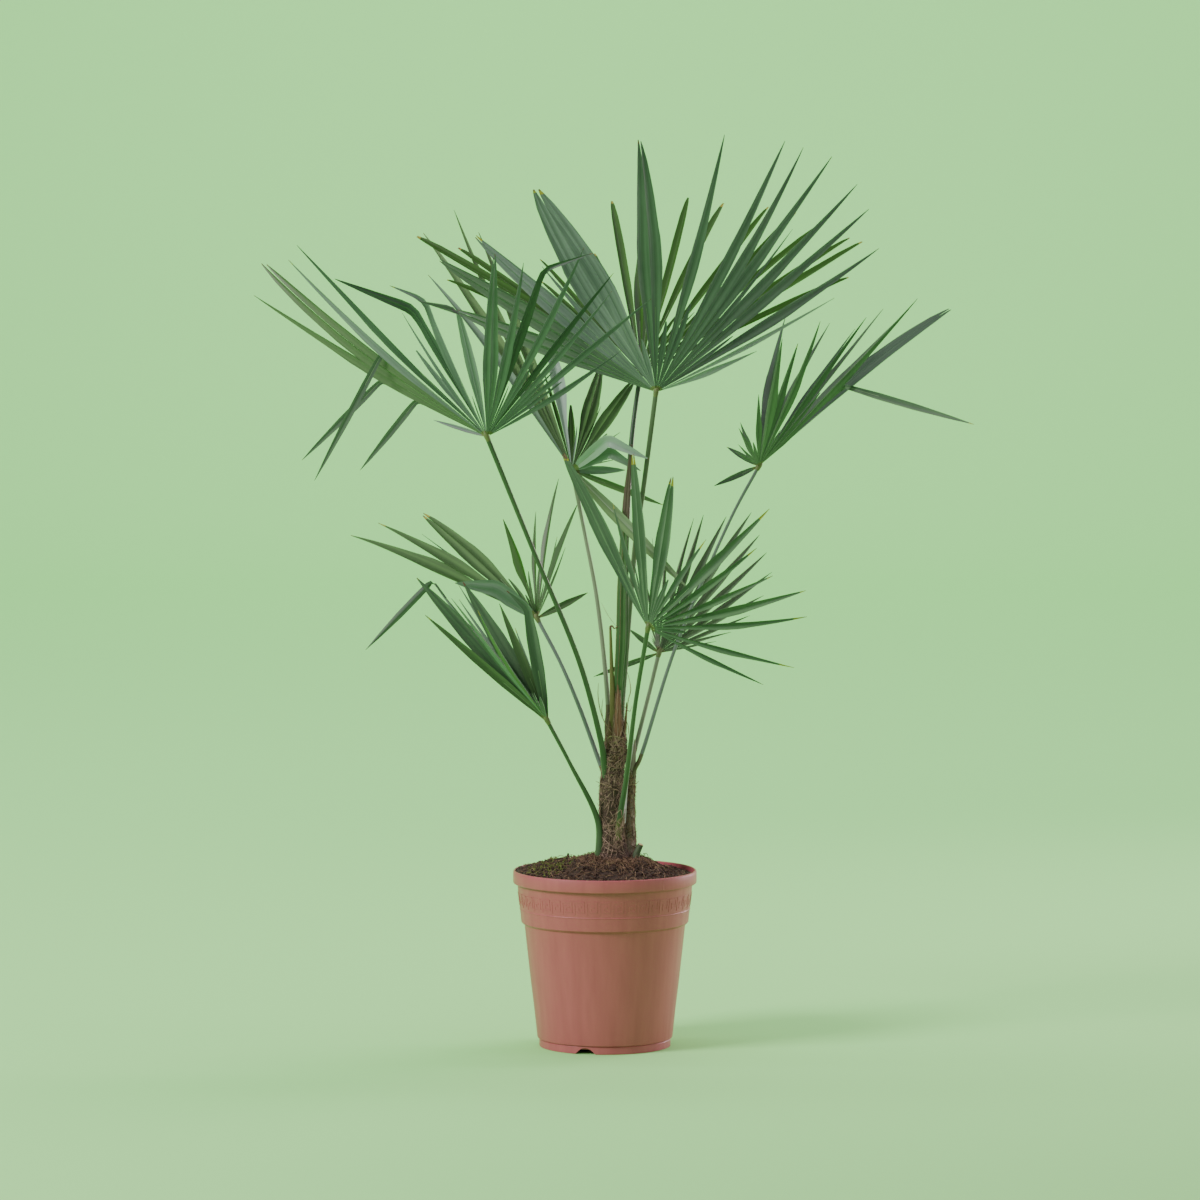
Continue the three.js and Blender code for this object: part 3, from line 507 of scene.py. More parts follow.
foot = 133.3  # height at which the stems leave the soil
trunk = dict(
    axis=[(5.5, 0, foot), (5.4, 0, 138), (5.2, 0, 147), (5, 0, 183), (7.3, 0, 217), (8.4, 0, 236), (9, 0, 249)],
    radii=[12.6, 10.6, 8.9, 8.2, 6.6, 4.0, 2.6])
crown = dict(axis=trunk["axis"], radii=[12.6, 10.6, 8.9, 8.2, 7.4, 6.6, 5.6])  # its wider top, where flaps stand
sideStem = dict(axis=[(17.6, 6, foot), (17.4, 6, 142), (17.8, 6, 158), (18.5, 6, 176), (18.8, 6.2, 196)],
                radii=[5.6, 4.6, 3.4, 2.5, 2.8])
collar = dict(axis=[(6.0, -0.6, 200), (6.8, -1.0, 209), (7.6, -1.2, 217), (8.2, -1.0, 226)],
              radii=[8.0, 8.3, 7.5, 5.6])  # ragged fibre round the flaps
frontFlap = dict(axis=[(7.6, -4.2, 208), (8.6, -5.4, 225), (9.4, -6.6, 252)],
                 radii=[4.0, 3.1, 1.2])  # streaks on the front flap
stalkFoot = dict(axis=[(8.4, -5, 138), (9.6, -7.4, 156), (11.2, -10.6, 170)],
                 radii=[3.8, 3.4, 2.6])  # fibre round the foot of the front stalk
# Bast is a mat of dead fibres, matt; the core's dark brown is partly its own colour and partly painted shade, for the
# shade deep between its strands. Single fibres are smoother and catch some light, and old sheaths are thin, dry and
# papery.
bast = plainMaterial("palm bast with painted shade", "#32291F", 0.95, 1.2, 0.8, "#57493C")
# the side stem's pale bast is partly its own colour and partly painted light, making up for the shade of the trunk and
# leaves
stemBastWithPaintedLight = plainMaterial("side stem bast with painted light", "#7E7468", 0.95, 1.2, 0.8, "#B6AA9A")
fibreBrown = plainMaterial("bast fibre brown", "#7A6654", 0.85, 2, 0.1, "#A8927E")
fibrePale = plainMaterial("bast fibre pale", "#A48E78", 0.85, 2, 0.1, "#806A54")
fibreDark = plainMaterial("bast fibre dark", "#3E3027", 0.9, 2, 0.1, "#57463A")
huskTones = {
    "redBrown": leafMaterial("dry leaf sheath red brown", "#5C4030", "#94705C", 0.9, 0.5),
    "brown": leafMaterial("dry leaf sheath brown", "#54432F", "#8A7058", 0.9, 0.5),
    "grey": leafMaterial("dry leaf sheath grey", "#7A6E64", "#A89E96", 0.85, 0.5),
    "green": leafMaterial("leaf sheath green", "#45562E", "#667040", 0.8, 0.5),
    "pale": leafMaterial("dry leaf sheath pale", "#A9A8A2", "#C6C6C6", 0.8, 0.3),
}
huskNames = list(huskTones)


def limbRows(limb, count):
    # points and radii of a limb, evenly spread along it
    path = smoothPath(limb["axis"], count)
    radii = np.interp(np.linspace(0, len(limb["radii"]) - 1, count), np.arange(len(limb["radii"])), limb["radii"])
    return path, radii


def barkPatch(limb, count, sides, depth, seed):
    # tube whose radius varies by waves drawn out upright, in millimetres, deepest low down
    path, radii = limbRows(limb, count)
    angle = np.arange(sides) / sides * 2 * math.pi
    x = radii[:, None] * np.cos(angle)
    y = radii[:, None] * np.sin(angle)
    z = np.repeat(path[:, 2][:, None], sides, 1)
    relief = waves(x, y, z * 0.45, seed, 40, 0.35, 3.2) * depth * np.linspace(1.25, 0.8, count)[:, None]
    return tubePatch(path * mm, radii * mm, sides, relief=relief * mm)


def woundPaths(limb, rng, count, longest, slant, lift, low=0.0, high=1.0):
    # threads on a limb's skin: the angle goes with the height by "slant", both ends lift off by up to "lift", and
    # low and high are the shares of the height between which they lie
    path, radii = limbRows(limb, 60)
    height = path[:, 2]
    along = np.linspace(0, 1, 8)[None]
    z0 = height[0] + (height[-1] - height[0]) * rng.uniform(low, high, (count, 1))
    tilt = rng.normal(0, slant, (count, 1)) + rng.choice([-0.5, 0.5], (count, 1)) * slant
    length = rng.uniform(0.3, 1, (count, 1)) * longest
    z = np.clip(z0 + (along - 0.5) * length * np.cos(tilt), height[0] - 0.5, height[-1] + 3)
    radius = np.interp(z, height, radii)
    angle = rng.uniform(0, 2 * math.pi, (count, 1)) + (along - 0.5) * length * np.sin(tilt) / radius
    off = radius + rng.uniform(-0.1, 0.8, (count, 1)) + (2 * along - 1) ** 4 * rng.uniform(0, lift, (count, 1))
    x = np.interp(z, height, path[:, 0]) + off * np.cos(angle)
    y = np.interp(z, height, path[:, 1]) + off * np.sin(angle)
    return np.stack([x, y, z], -1)


def woundPatch(rng, limb, count, longest, slant, lift, thinnest, thickest, low=0.0, high=1.0):
    # wound threads, their radii between the thinnest and the thickest
    paths = woundPaths(limb, rng, count, longest, slant, lift, low, high)
    return threadPatch(paths, rng.uniform(thinnest, thickest, count))


# Wound threads of each piece, with its colour and rows of: limb, how many, the longest, slant, lift of the ends,
# the thinnest and thickest radius and, where they keep to a part of the limb, its shares of the height
wound = dict(
    trunkFibres=(fibreBrown, [
        (trunk, 850, 16, 0.8, 1.4, 0.12, 0.34, 0, 0.97), (sideStem, 240, 11, 0.6, 0.9, 0.1, 0.26),
        (frontFlap, 50, 16, 0.07, 0.5, 0.12, 0.3), (collar, 150, 13, 0.9, 1.6, 0.15, 0.36)]),
    trunkFibresDark=(fibreDark, [
        (trunk, 425, 13, 1.0, 1.0, 0.2, 0.5, 0, 0.97), (collar, 90, 12, 0.8, 1.0, 0.2, 0.45),
        (sideStem, 120, 9, 0.7, 0.8, 0.15, 0.35)]),
    trunkFibresPale=(fibrePale, [
        (trunk, 230, 15, 0.9, 2.2, 0.1, 0.3, 0, 0.95), (sideStem, 460, 9, 0.5, 1.2, 0.12, 0.3),
        (frontFlap, 50, 18, 0.07, 0.5, 0.1, 0.24), (collar, 90, 15, 0.9, 2.4, 0.12, 0.34)]))
rng = np.random.default_rng(5)
# the cores are given as rows, sides, depth of the bark and its seed
# the trunk core's dark colour holds painted shade as well as the bast's own brown
makePiece("trunkCore", [barkPatch(trunk, 150, 110, 0.55, 21)], [bast], ["trunk"], 70)
makePiece("sideStemCore", [barkPatch(sideStem, 80, 48, 0.35, 22)], [stemBastWithPaintedLight], ["side_stem"], 70)
for name, (fibre, rows) in wound.items():
    makePiece(name, [woundPatch(rng, *row) for row in rows], [fibre])


def sheathPatch(rows, slot=0):
    # curved shell along a stem: middle + side u half width + front (1 - u^2) depth, where each row is (x, y, z of
    # its middle, half width, depth, the angle that it faces)
    rows = np.asarray(rows, float)
    count = 26
    place = np.linspace(0, len(rows) - 1, count)
    dense = np.stack([np.interp(place, np.arange(len(rows)), rows[:, i]) for i in range(6)], 1)
    for _ in range(3):  # rounds the corners between the rows
        dense[1:-1] = dense[:-2] * 0.25 + dense[1:-1] * 0.5 + dense[2:] * 0.25
    u = np.linspace(-1, 1, 11)
    facing = np.radians(dense[:, 5])
    side = np.stack([-np.sin(facing), np.cos(facing), 0 * facing], 1)
    front = np.stack([np.cos(facing), np.sin(facing), 0 * facing], 1)
    shell = (dense[:, None, :3] + side[:, None] * (u[None, :, None] * dense[:, None, 3:4])
             + front[:, None] * ((1 - u ** 2)[None, :, None] * dense[:, None, 4:5]))
    inner = shell - front[:, None] * 0.5  # half a millimetre thick
    ring = np.concatenate([shell, inner[:, ::-1]], 1)
    quads = gridQuads(count, ring.shape[1], True)[:, ::-1]
    n = ring.shape[1]
    k = np.arange(len(u) - 1)
    startCap = np.stack([k + 1, k, n - 1 - k, n - 2 - k], 1)
    endCap = startCap[:, ::-1] + (count - 1) * n
    quads = np.concatenate([quads, startCap, endCap])
    along = np.repeat(np.linspace(0, 4, count)[:, None], n, 1)
    across = np.repeat(np.concatenate([u, u[::-1]])[None], count, 0)
    uv = np.stack([across, along], -1).reshape(-1, 2)
    return ring.reshape(-1, 3) * mm, quads, np.full(len(quads), slot), uv


def flapPatches(rng, limb, count, low, high, width, height):
    # flaps stood round the top of a limb, their feet between low and high: each one hugs it below and narrows to
    # a ragged point, and is red brown or brown
    path, radii = limbRows(limb, 60)
    patches = []
    for number in range(count):
        angle = 360 * (number + rng.uniform(-0.25, 0.25)) / count + 270
        z = low + (high - low) * rng.uniform(0, 1) + height * rng.uniform(0.75, 1.15) * np.array([0, 0.3, 0.6, 0.85, 1])
        radius = np.interp(z, path[:, 2], radii) * np.array([0.62, 0.88, 0.9, 0.86, 0.84])
        x = np.interp(z, path[:, 2], path[:, 0]) + radius * math.cos(math.radians(angle))
        y = np.interp(z, path[:, 2], path[:, 1]) + radius * math.sin(math.radians(angle))
        half = width * np.array([1, 1, 0.75, 0.4, 0.08]) * rng.uniform(0.8, 1.1)
        facing = angle + rng.uniform(-12, 12) * np.linspace(0, 1, 5)
        patches.append(sheathPatch(np.stack([x, y, z, half, half * 0.35 + 0.4, facing], 1), int(rng.integers(0, 2))))
    return patches


# Rows of flaps: limb, how many, lowest and highest foot, half width, height
flaps = [(crown, 7, 198, 210, 3.2, 22), (crown, 4, 206, 214, 2.2, 20), (sideStem, 5, 176, 184, 1.9, 24)]
# Single sheaths, each a tone and the rows of sheathPatch
sheaths = [
    ("redBrown", [(7.0, -1.6, 203, 4.0, 1.6, 266), (8.2, -6.0, 218, 3.6, 1.9, 266), (9.3, -7.2, 233, 2.7, 1.5, 268),
                  (9.5, -7.6, 247, 1.5, 1.0, 268), (9.2, -7.4, 259, 0.2, 0.2, 266)]),
    ("brown", [(4.6, -1.4, 201, 2.8, 1.4, 246), (3.8, -5.2, 214, 2.8, 1.6, 246), (3.6, -6.0, 224, 1.6, 1.2, 248),
               (3.2, -5.8, 233, 0.2, 0.2, 248)]),
    ("brown", [(10.6, -3.0, 200, 2.0, 1.2, 300), (12.9, -3.8, 214, 1.6, 1.0, 302),
               (14.6, -3.4, 230, 0.9, 0.7, 304), (15.6, -3.0, 246, 0.2, 0.2, 304)]),
    ("grey", [(18.7, 5.2, 180, 1.9, 0.8, 285), (19.9, 3.6, 195, 2.0, 0.9, 285), (20.8, 3, 208, 1.5, 0.7, 285),
              (21.4, 2.6, 219, 0.3, 0.3, 285)]),
    ("pale", [(14.0, -6, 160, 0.9, 0.3, 275), (14.7, -6, 174, 0.9, 0.3, 275), (15.6, -6, 188, 0.9, 0.3, 275),
              (17.4, -6, 202, 0.9, 0.3, 275), (19.4, -6, 213, 0.8, 0.3, 275), (20.4, -6, 222, 0.2, 0.2, 275)]),
    ("green", [(9.2, -7.8, 148, 2.6, 1.2, 264), (9.9, -8.9, 157, 2.7, 1.3, 264), (10.9, -10.4, 166, 1.8, 1.1, 264),
               (11.9, -12.2, 174, 0.8, 0.7, 264), (12.5, -13.4, 181, 0.2, 0.2, 264)]),
]
rng = np.random.default_rng(31)
makePiece("trunkSheaths", [patch for row in flaps for patch in flapPatches(rng, *row)]
          + [sheathPatch(rows, huskNames.index(tone)) for tone, rows in sheaths],
          list(huskTones.values()))
huskFibres = woundPaths(trunk, rng, 170, 26, 0.22, 2.6, 0.62, 0.98)  # long, nearly upright, partly brown
makePiece("trunkHuskFibres", [threadPatch(huskFibres[:110], rng.uniform(0.12, 0.3, 110)),
                              woundPatch(rng, stalkFoot, 120, 10, 0.5, 0.8, 0.12, 0.28),
                              threadPatch(huskFibres[110:], rng.uniform(0.1, 0.24, 60), 1)],
          [fibreBrown, fibrePale])
# Loose hairs that stand off the trunk, each a radius and points
hairs = [
    (0.42, [(-4.6, -3, 260), (-4.9, -4, 252), (-3.6, -5, 242), (-1, -6.4, 234), (2.6, -8, 228), (7, -8.4, 222)]),
    (0.4, [(15.5, -3, 269), (17.5, -5, 262), (18.3, -5.5, 255), (16.6, -4, 248), (15.5, -2, 236), (15.4, -2, 222)]),
    (0.55, [(0.5, -7.2, 219), (4, -8.4, 222.4), (9, -8.8, 222), (14, -6.6, 219.4)]),
    (0.5, [(13.4, -4, 232), (11, -7.6, 224), (8, -8.8, 217), (3, -9, 211)]),
    (0.4, [(6, -8.4, 226), (9, -8.8, 216), (12.6, -7.4, 210)]),
    (0.35, [(-6.6, -2, 189.6), (-3, -5, 188.4), (2, -8.6, 187.2), (6, -8.6, 185)]),
    (0.4, [(17, -4, 187), (22, -1.4, 187.6), (24.2, 1, 189.4)]),
    (0.3, [(-5.6, -1, 174), (-3.8, -2, 171.4), (-2.6, -4, 170)]),
    (0.3, [(-5.0, -4, 163), (-3.4, -4.6, 158), (-3.0, -5.6, 152)]),
    (0.3, [(13, -4.6, 247), (14.2, -6, 243), (17.6, -6, 240), (19.4, -5, 244)]),
    (0.35, [(15, -3.6, 234), (16.8, -4, 228), (16.2, -4, 221)]),
    (0.3, [(-1.4, -4.6, 249), (-2.2, -4.6, 240), (-0.4, -5.8, 231)]),
    (0.2, [(-2.5, -2, 317), (2.4, -6, 308), (8.4, -9, 300)]),
]
makePiece("trunkHairs", [threadPatch(np.stack([smoothPath(points, 18) for _, points in hairs]),
                                     np.array([radius for radius, _ in hairs]))], [fibrePale])
print("trunk is made")


# Stub, dead stalk and the folded spear leaf

stub = dict(axis=[(21.5, -3, foot - 1), (22.6, -3.6, 138), (25.4, -4, 144.4)], radii=[2.9, 2.5, 2.1])
stubPath, stubRadii = limbRows(stub, 16)
stubGreen = plainMaterial("cut leaf base", "#35452F", 0.7, 2, 0.3, "#4A5A3A")  # skin still green, dull with age
cutFace = plainMaterial("fresh cut pith", "#C9B48C", 0.8, 1, 0.2, "#A98F66")  # pale and dry, with a fine grain
stubEnd = np.stack([stubPath[-1], stubPath[-1] + [0.25, -0.05, 0.5]])  # the cut face is a low disc on the end
makePiece("cutStub", [tubePatch(stubPath * mm, stubRadii * mm, 20),
                      tubePatch(stubEnd * mm, np.array([1.95, 1.7]) * mm, 20, slot=1)],
          [stubGreen, cutFace], ["cut_stub"])

deadStalk = dict(axis=[(6.2, -2, 204), (5.9, -3.6, 224), (5.5, -4.2, 247), (4.6, -5.4, 275), (3.9, -8, 298)],
                 radii=[2.6, 2.6, 2.1, 1.3, 0.9])
deadPath, deadRadii = limbRows(deadStalk, 46)
deadGreen = leafMaterial("withered stalk", "#5C6238", "#7E7448", 0.7, 0.2)  # dull olive, its wax gone
tipPath = smoothPath([(3.9, -8, 297.6), (4.0, -8.3, 300.5), (5.2, -8.8, 300.8), (6.6, -9.4, 299.2),
                      (9.2, -9.6, 300.6)], 16)
makePiece("deadStalk", [tubePatch(deadPath * mm, deadRadii * mm, 10),
                        tubePatch(tipPath * mm, np.linspace(0.9, 0.35, 16) * mm, 8, slot=1)],
          [deadGreen, leafTones["brown"]], ["dead_stalk"])

spear = dict(axis=[(8.6, -1.2, 222), (9.4, -2.6, 249), (11.9, -7, 290), (12.6, -10, 330), (15.2, -12, 391),
                   (18.7, -14, 430)],
             radii=[2.6, 3.0, 3.6, 3.2, 2.0, 0.5], rows=90, sides=84, pleats=7, pleatDepth=0.16, phase=0.7,
             ridge=0.82, dryAbove=372)


def spearPatch():
    # closed fan: a limb whose section is a folded star, radius (1 + depth cos(pleats a)). The crests on its left
    # are brown, and the leaf is drying above dryAbove.
    path, radii = limbRows(spear, spear["rows"])
    angle = np.arange(spear["sides"]) / spear["sides"] * 2 * math.pi
    star = np.cos(angle * spear["pleats"] + spear["phase"])
    relief = radii[:, None] * spear["pleatDepth"] * star[None] * np.linspace(0.6, 1, spear["rows"])[:, None]
    points, quads, numbers, uv = tubePatch(path * mm, radii * mm, spear["sides"], flat=0.12, relief=relief * mm)
    ridge = np.tile((star > spear["ridge"]) & (np.cos(angle) < -0.3), (spear["rows"] - 1, 1)).ravel()
    dry = np.repeat(path[1:, 2] > spear["dryAbove"], spear["sides"])
    numbers[:len(ridge)][ridge] = 1
    numbers[:len(dry)][dry] = 2
    return points, quads, numbers, uv


spearDry = leafMaterial("closed leaf drying", "#544A3E", "#746C5A", 0.7, 0.4)  # brown and dull at its end
makePiece("spearLeaf", [spearPatch()], [leafTones["fresh"], leafTones["brown"], spearDry],
          ["spear_leaf"], 80)
print("spear leaf is made")


# Leaves: stalk, heart and a fan of pleated leaflets that are joined near the hub

# root, heart: millimetres from the hub to the first two rows of a leaflet, inside the knot and just out of it.
# split: share of the reach at which a leaflet stops widening. thick: thickness. pleat, freePleat: height of the
# fold against half its width, near the hub and at the tip. ribShare: share of the length on which the pale rib
# shows. slim: width of the free part against its wedge. fillerBelow: a strip that is shorter than this share of
# the longer neighbour is a filler, of fillerReach times its own reach, and a skipped one is cut to skipReach of
# the longest about it. bendRadius, looseBendRadius: length of the bend in a leaflet of a fan and in a single
# one. lead, hangingWidth: hidden start and width of the hanging ends. The shapes are (share of the reach,
# share of the width), and tipRows the last rows of every leaflet.
blade = dict(root=2.4, heart=5.0, split=0.48, thick=0.42, pleat=0.6, freePleat=0.7, ribShare=0.34, slim=0.86,
             fillerBelow=0.62, fillerReach=0.72, skipReach=0.34, bendRadius=15.0, looseBendRadius=7.0, lead=16,
             hangingWidth=5,
             shape=[(0.48, 1.0), (0.59, 1.0), (0.64, 0.84), (0.75, 0.62), (0.88, 0.36), (0.96, 0.16), (1, 0.04)],
             pairShape=[(0.48, 1.0), (0.61, 1.0), (0.66, 0.9), (0.8, 0.72), (0.92, 0.46), (1, 0.24)],
             bluntShape=[(0.3, 0.9), (0.5, 1.0), (0.75, 1.0), (0.9, 0.8), (0.97, 0.5), (1, 0.2)],
             tipRows=np.array([0.92, 0.94, 0.955, 0.965, 0.975, 0.985, 0.992, 1]))

# One dictionary for each leaf, with its angles in degrees.
# hub: where the stalk meets the blade. stalk, radii: the stalk's points up to the hub, and its radii there.
# stalkTone, foot: the stalk's colour, and the height below which it is brown. turn, lean: the heading of the
# middle rib. roll, fold: how far the blade turns about it, and how far its two halves fold back.
# edge, step: the angle of the first strip's edge, and that of one rib. strips: the reach of each strip, or (ribs,
# reach) where it isn't one rib wide.
# tone, under, tones: colours above and below, and above on single strips. skip: strips cut to short fillers.
# turned: strips that show their underside. wide: widths against the rule. bends: where a strip bends, and its
# turn and lean beyond. sways: how far a strip's end moves sideways, as a share of its reach.
# strays, strayTones: single leaflets (turn, lean, reach, width and, where bent, the bend and turn and lean
# beyond) and their colours. joined: share of the reach over which leaflets keep together. slim, pleat, shape:
# in place of those in blade. yellowTips: share of leaflets with a yellow tip. longTips: length of the dry tips.
leaves = [
    dict(name="a", hub=(36.1, -10, 466.8), radii=[2.8, 2.4, 2.1, 1.8, 1.7, 1.6], stalkTone="yellow",
         stalk=[(10, 0.2, 222), (11.4, -0.5, 241), (13.4, 1.5, 262), (17.4, 1, 311), (22.2, -2, 364),
                (27, -4, 396.5)],
         turn=100, lean=-28, roll=-5, fold=28, edge=79, step=6, tone="deep",
         strips=[(2, 165), (2, 186), (2, 172), (1.3, 120), (4, 173), (2, 60), (2, 194), (1.7, 75), 194, (1.4, 95),
                 200, 201, 207, (0.6, 150), 205, 200, (0.8, 95), 196, (0.6, 150), (1.4, 82)],
         tones={0: "mid", 1: "mid", 18: "under", 19: "under"},
         joined=0.4, yellowTips=0.15),
    dict(name="d", hub=(25.9, 44, 478.6), radii=[2.6, 2.4, 2.1, 1.8, 1.6, 1.5], stalkTone="dark",
         stalk=[(10.5, 3, 220), (11.5, 5, 238), (12.2, 9, 262), (15.3, 22, 360), (18.8, 34, 428), (23, 41.5, 462)],
         turn=93, lean=46, roll=0, fold=-12, edge=62, step=5, tone="bright",
         strips=[160, 197, 170, 140, 110, 126, (2, 60), 150, 120, 60, 173, (2.2, 160), (0.6, 60), 172, (0.9, 70),
                 170, (1.4, 80), 171, (0.6, 90), 177, (0.6, 90), 174, (0.6, 100), 184, 187, 165],
         shape="bluntShape", yellowTips=0.9, longTips=0.5),
    dict(name="b", hub=(-82.5, -58, 437.4), radii=[2.2, 2.3, 1.95, 1.7, 1.5], stalkTone="green",
         stalk=[(1.4, -1.5, 186), (-0.6, -6.2, 204), (-2.4, -10.5, 217), (-17.6, -22, 275), (-50.6, -39, 357)],
         turn=93, lean=-40, roll=-8, fold=33, edge=88.5, step=6, tone="deep", under="mid",
         strips=[(1.1, 209), (1.7, 219), (1.1, 192), (0.5, 90), 189, (1.5, 108), (1.2, 105), (1.5, 165), (0.4, 60),
                 (1.3, 140), (0.7, 60), (2, 136), (0.5, 60), (1.9, 166), (1.4, 149), 178, (0.7, 60), 161, (0.9, 90),
                 150, 136, (0.9, 90), 150, 90, (1.2, 113), (0.6, 50)],
         skip=[10, 12], wide={5: 0.7, 6: 0.7, 7: 0.75, 11: 0.7, 13: 0.66, 14: 0.8},
         tones={0: "light", 1: "light", 4: "dark", 7: "dark", 15: "dark", 19: "dark"},
         bends={7: (106, 159, -15), 9: (112, 157, -10), 11: (110, 165, -8), 15: (142, 18, -10)}, sways={0: -0.06},
         strays=[(165, 39, 50, 3)],
         joined=0.34),
    dict(name="c", hub=(-23.4, 15, 410.3), radii=[2.4, 2.0, 1.6, 1.35, 1.2], stalkTone="beige", foot=246,
         stalk=[(4.5, 2, 208), (1.8, 4.5, 226), (2.2, 7, 242), (-5.6, 12, 318), (-14.2, 14, 364)],
         turn=70, lean=48, roll=-8, fold=-16, edge=53, step=6, tone="young", under="young",
         strips=[190, 229, (0.7, 234), 221, (0.7, 120), 145, (1.6, 85), (0.6, 60), (1.6, 112), (0.8, 70),
                 (1.8, 102), (1.5, 60), (1.2, 50), 38, 36, 36, 36, 34, 34],
         wide={4: 1.4, 5: 1.8, 8: 1.3, 10: 1.25},
         tones={0: "dull", 4: "bright", 5: "under", 6: "bright", 7: "under", 8: "sunny", 10: "sunny"},
         strays=[(42, -38, 76, 9, 42, -24, -20), (28, -32, 62, 8, 34, -30, -22), (0, 0, 37, 6), (-21, 0, 69, 5),
                 (-44, -36, 140, 9)], strayTones=["under", "dull", "dull"]),
    dict(name="e", hub=(109.6, 15, 413.2), radii=[1.8, 1.7, 1.4, 1.15, 1.0], stalkTone="blue", foot=211,
         stalk=[(19.2, 5.6, 182), (20.6, 4, 196.3), (24.5, 2.6, 204), (50.6, 9, 285), (90.5, 14, 377.6)],
         turn=40, lean=-8, roll=86, fold=27, edge=95, step=7, tone="mid", under="mid",
         strips=[45, 45, 67, 50, 98, 156, 140, 150, 105, 153, 105, 173, 84, (2, 178), 150, 120, 150, 130, 120, 140,
                 110, 120, 178, 90, 60, 76],
         skip=[8, 12, 15, 18, 20, 21, 24], turned=range(13, 26),
         tones={6: "dark", 9: "dark", 13: "dark", 17: "dark", 22: "dark"},
         strays=[(204, 0, 34, 4), (150, 20, 27, 4)],
         joined=0.42, slim=0.8, pleat=0.7),
    dict(name="f", hub=(30, -70, 304.3), radii=[2.6, 2.6, 2.1, 1.7, 1.4], stalkTone="green",
         stalk=[(7.2, 0, 134), (8.0, -3.6, 148), (10.3, -8.8, 163), (14.9, -20, 192), (21.8, -48, 252)],
         turn=46, lean=-35, roll=0, fold=12, edge=79, step=7, tone="mid",
         strips=[(2, 137), 92, (0.5, 70), (2, 131), (2.2, 120), (1.5, 60), 90, (0.5, 60), 146, 114, (0.7, 60), 109,
                 (0.3, 60), (1.2, 124), (0.6, 60), 115, (2, 60), 106, (1.2, 60), 90],
         skip=[12, 14, 16, 18], wide={0: 0.85, 3: 0.66, 4: 0.74},
         joined=0.16, yellowTips=0.9, longTips=2.2),
    dict(name="g", hub=(38.8, 35, 278), radii=[1.8, 1.6, 1.5, 1.3], stalkTone="beige", foot=214,
         stalk=[(18.3, 6.8, 182), (17.6, 8, 196.3), (20.4, 10.5, 207), (32.3, 28, 252)],
         turn=70, lean=40, roll=20, fold=-20, edge=75, step=6, tone="fresh",
         strips=[40, 45, 50, 55, 60, 70, 80, 85, 90, 95, 100, 117, 130, 141, 152, 140, 130, 120, 100, 80, 60, 45],
         skip=[0, 1, 2, 4, 6, 8, 10],
         strays=[(200, 0, 49, 4), (142, 10, 27, 4)],
         slim=0.8),
    dict(name="h", hub=(-48.5, 25, 303.9), radii=[2.3, 1.9, 1.55, 1.4, 1.2], stalkTone="blue", foot=200,
         stalk=[(3.5, 2, 174), (0.8, 4, 190), (-4.5, 7.5, 204), (-17.8, 14, 240), (-32.1, 20, 273)],
         turn=112, lean=48, roll=-10, fold=-30, edge=47, step=7, tone="sunny",
         strips=[160, 150, (0.4, 118), (1.9, 138), 62, (1.3, 60), 103, 60, 70, 85, 60, 105, 60, 60, 87, 55],
         skip=[5, 8, 12], wide={0: 1.5, 1: 1.4, 6: 1.7, 9: 1.3, 11: 1.4, 14: 1.8},
         tones={2: "dark", 6: "bright", 9: "bright", 11: "bright"},
         strays=[(26, 10, 40, 5), (143, -10, 66, 12, 36, 172, -12)], strayTones=["light", "dull"]),
    dict(name="i", hub=(-40.9, -30, 236), radii=[3.0, 2.9, 2.0, 1.25], stalkTone="green",
         stalk=[(-3.6, -4.2, 127), (-4.0, -4.6, 136), (-4.9, -6.2, 161), (-24.7, -20, 204)],
         turn=136, lean=0, roll=90, fold=-22, edge=66, step=7, tone="mid", under="dull",
         strips=[(2, 130), 119, 100, 112, 125, 120, 110, (2, 136), 117, 127, 110, 125, 109, 100, 90, 80],
         skip=[0, 1, 2, 6, 7, 8, 13, 15], turned=range(16), tones={3: "young", 4: "dull", 10: "young", 12: "young"},
         strays=[(138, -14, 117, 6), (99.6, -12, 102, 9, 82, 138, -12), (131.8, -8, 137, 12), (120.9, -5, 114, 12),
                 (111.7, -9, 90, 6.5)], strayTones=["light", "mid", "mid", "mid", "light"],
         longTips=2),
]
for leaf in leaves:
    leaf["strips"] = [strip if isinstance(strip, tuple) else (1, strip) for strip in leaf["strips"]]

# Hanging ends beyond a sharp bend: the leaf, the angle of its fan, how far out the bend is, how far off the
# blade, and the turn, lean and reach of the end
hanging = [
    dict(name="b_hanging_1", leaf="b", angle=89.8, at=64, turn=-129, reach=64),
    dict(name="b_hanging_2", leaf="b", angle=89.5, at=97, turn=-135, reach=80),
    dict(name="b_hanging_3", leaf="b", angle=71, at=97, off=2.3, turn=-118, reach=102),
    dict(name="e_hanging", leaf="e", angle=7.5, at=85.7, turn=-15, lean=-48, reach=132),
    dict(name="i_hanging", leaf="i", angle=-14.5, at=129.8, turn=-134, reach=68),
]


def fanAxes(leaf):
    # along the middle rib, to the left side and square to the blade
    along = heading(leaf["turn"], leaf["lean"])
    t, roll = math.radians(leaf["turn"]), math.radians(leaf["roll"])
    level = np.array([-math.sin(t), 0, math.cos(t)])
    side = level * math.cos(roll) + np.cross(along, level) * math.sin(roll)
    return along, side, np.cross(along, side)


def ray(leaf, angle):
    # along cos a + side sin a cos fold - face |sin a| sin fold
    along, side, face = fanAxes(leaf)
    fold = math.radians(leaf["fold"])
    return (along * math.cos(angle) + side * (math.sin(angle) * math.cos(fold))
            - face * (abs(math.sin(angle)) * math.sin(fold)))


def bladeAxes(leaf, angle):
    # along a leaflet at an angle of the fan, across it and square to both
    step = math.radians(1)
    along = ray(leaf, angle)
    across = unit(ray(leaf, angle + step) - ray(leaf, angle - step))
    return along, across, unit(np.cross(along, across))


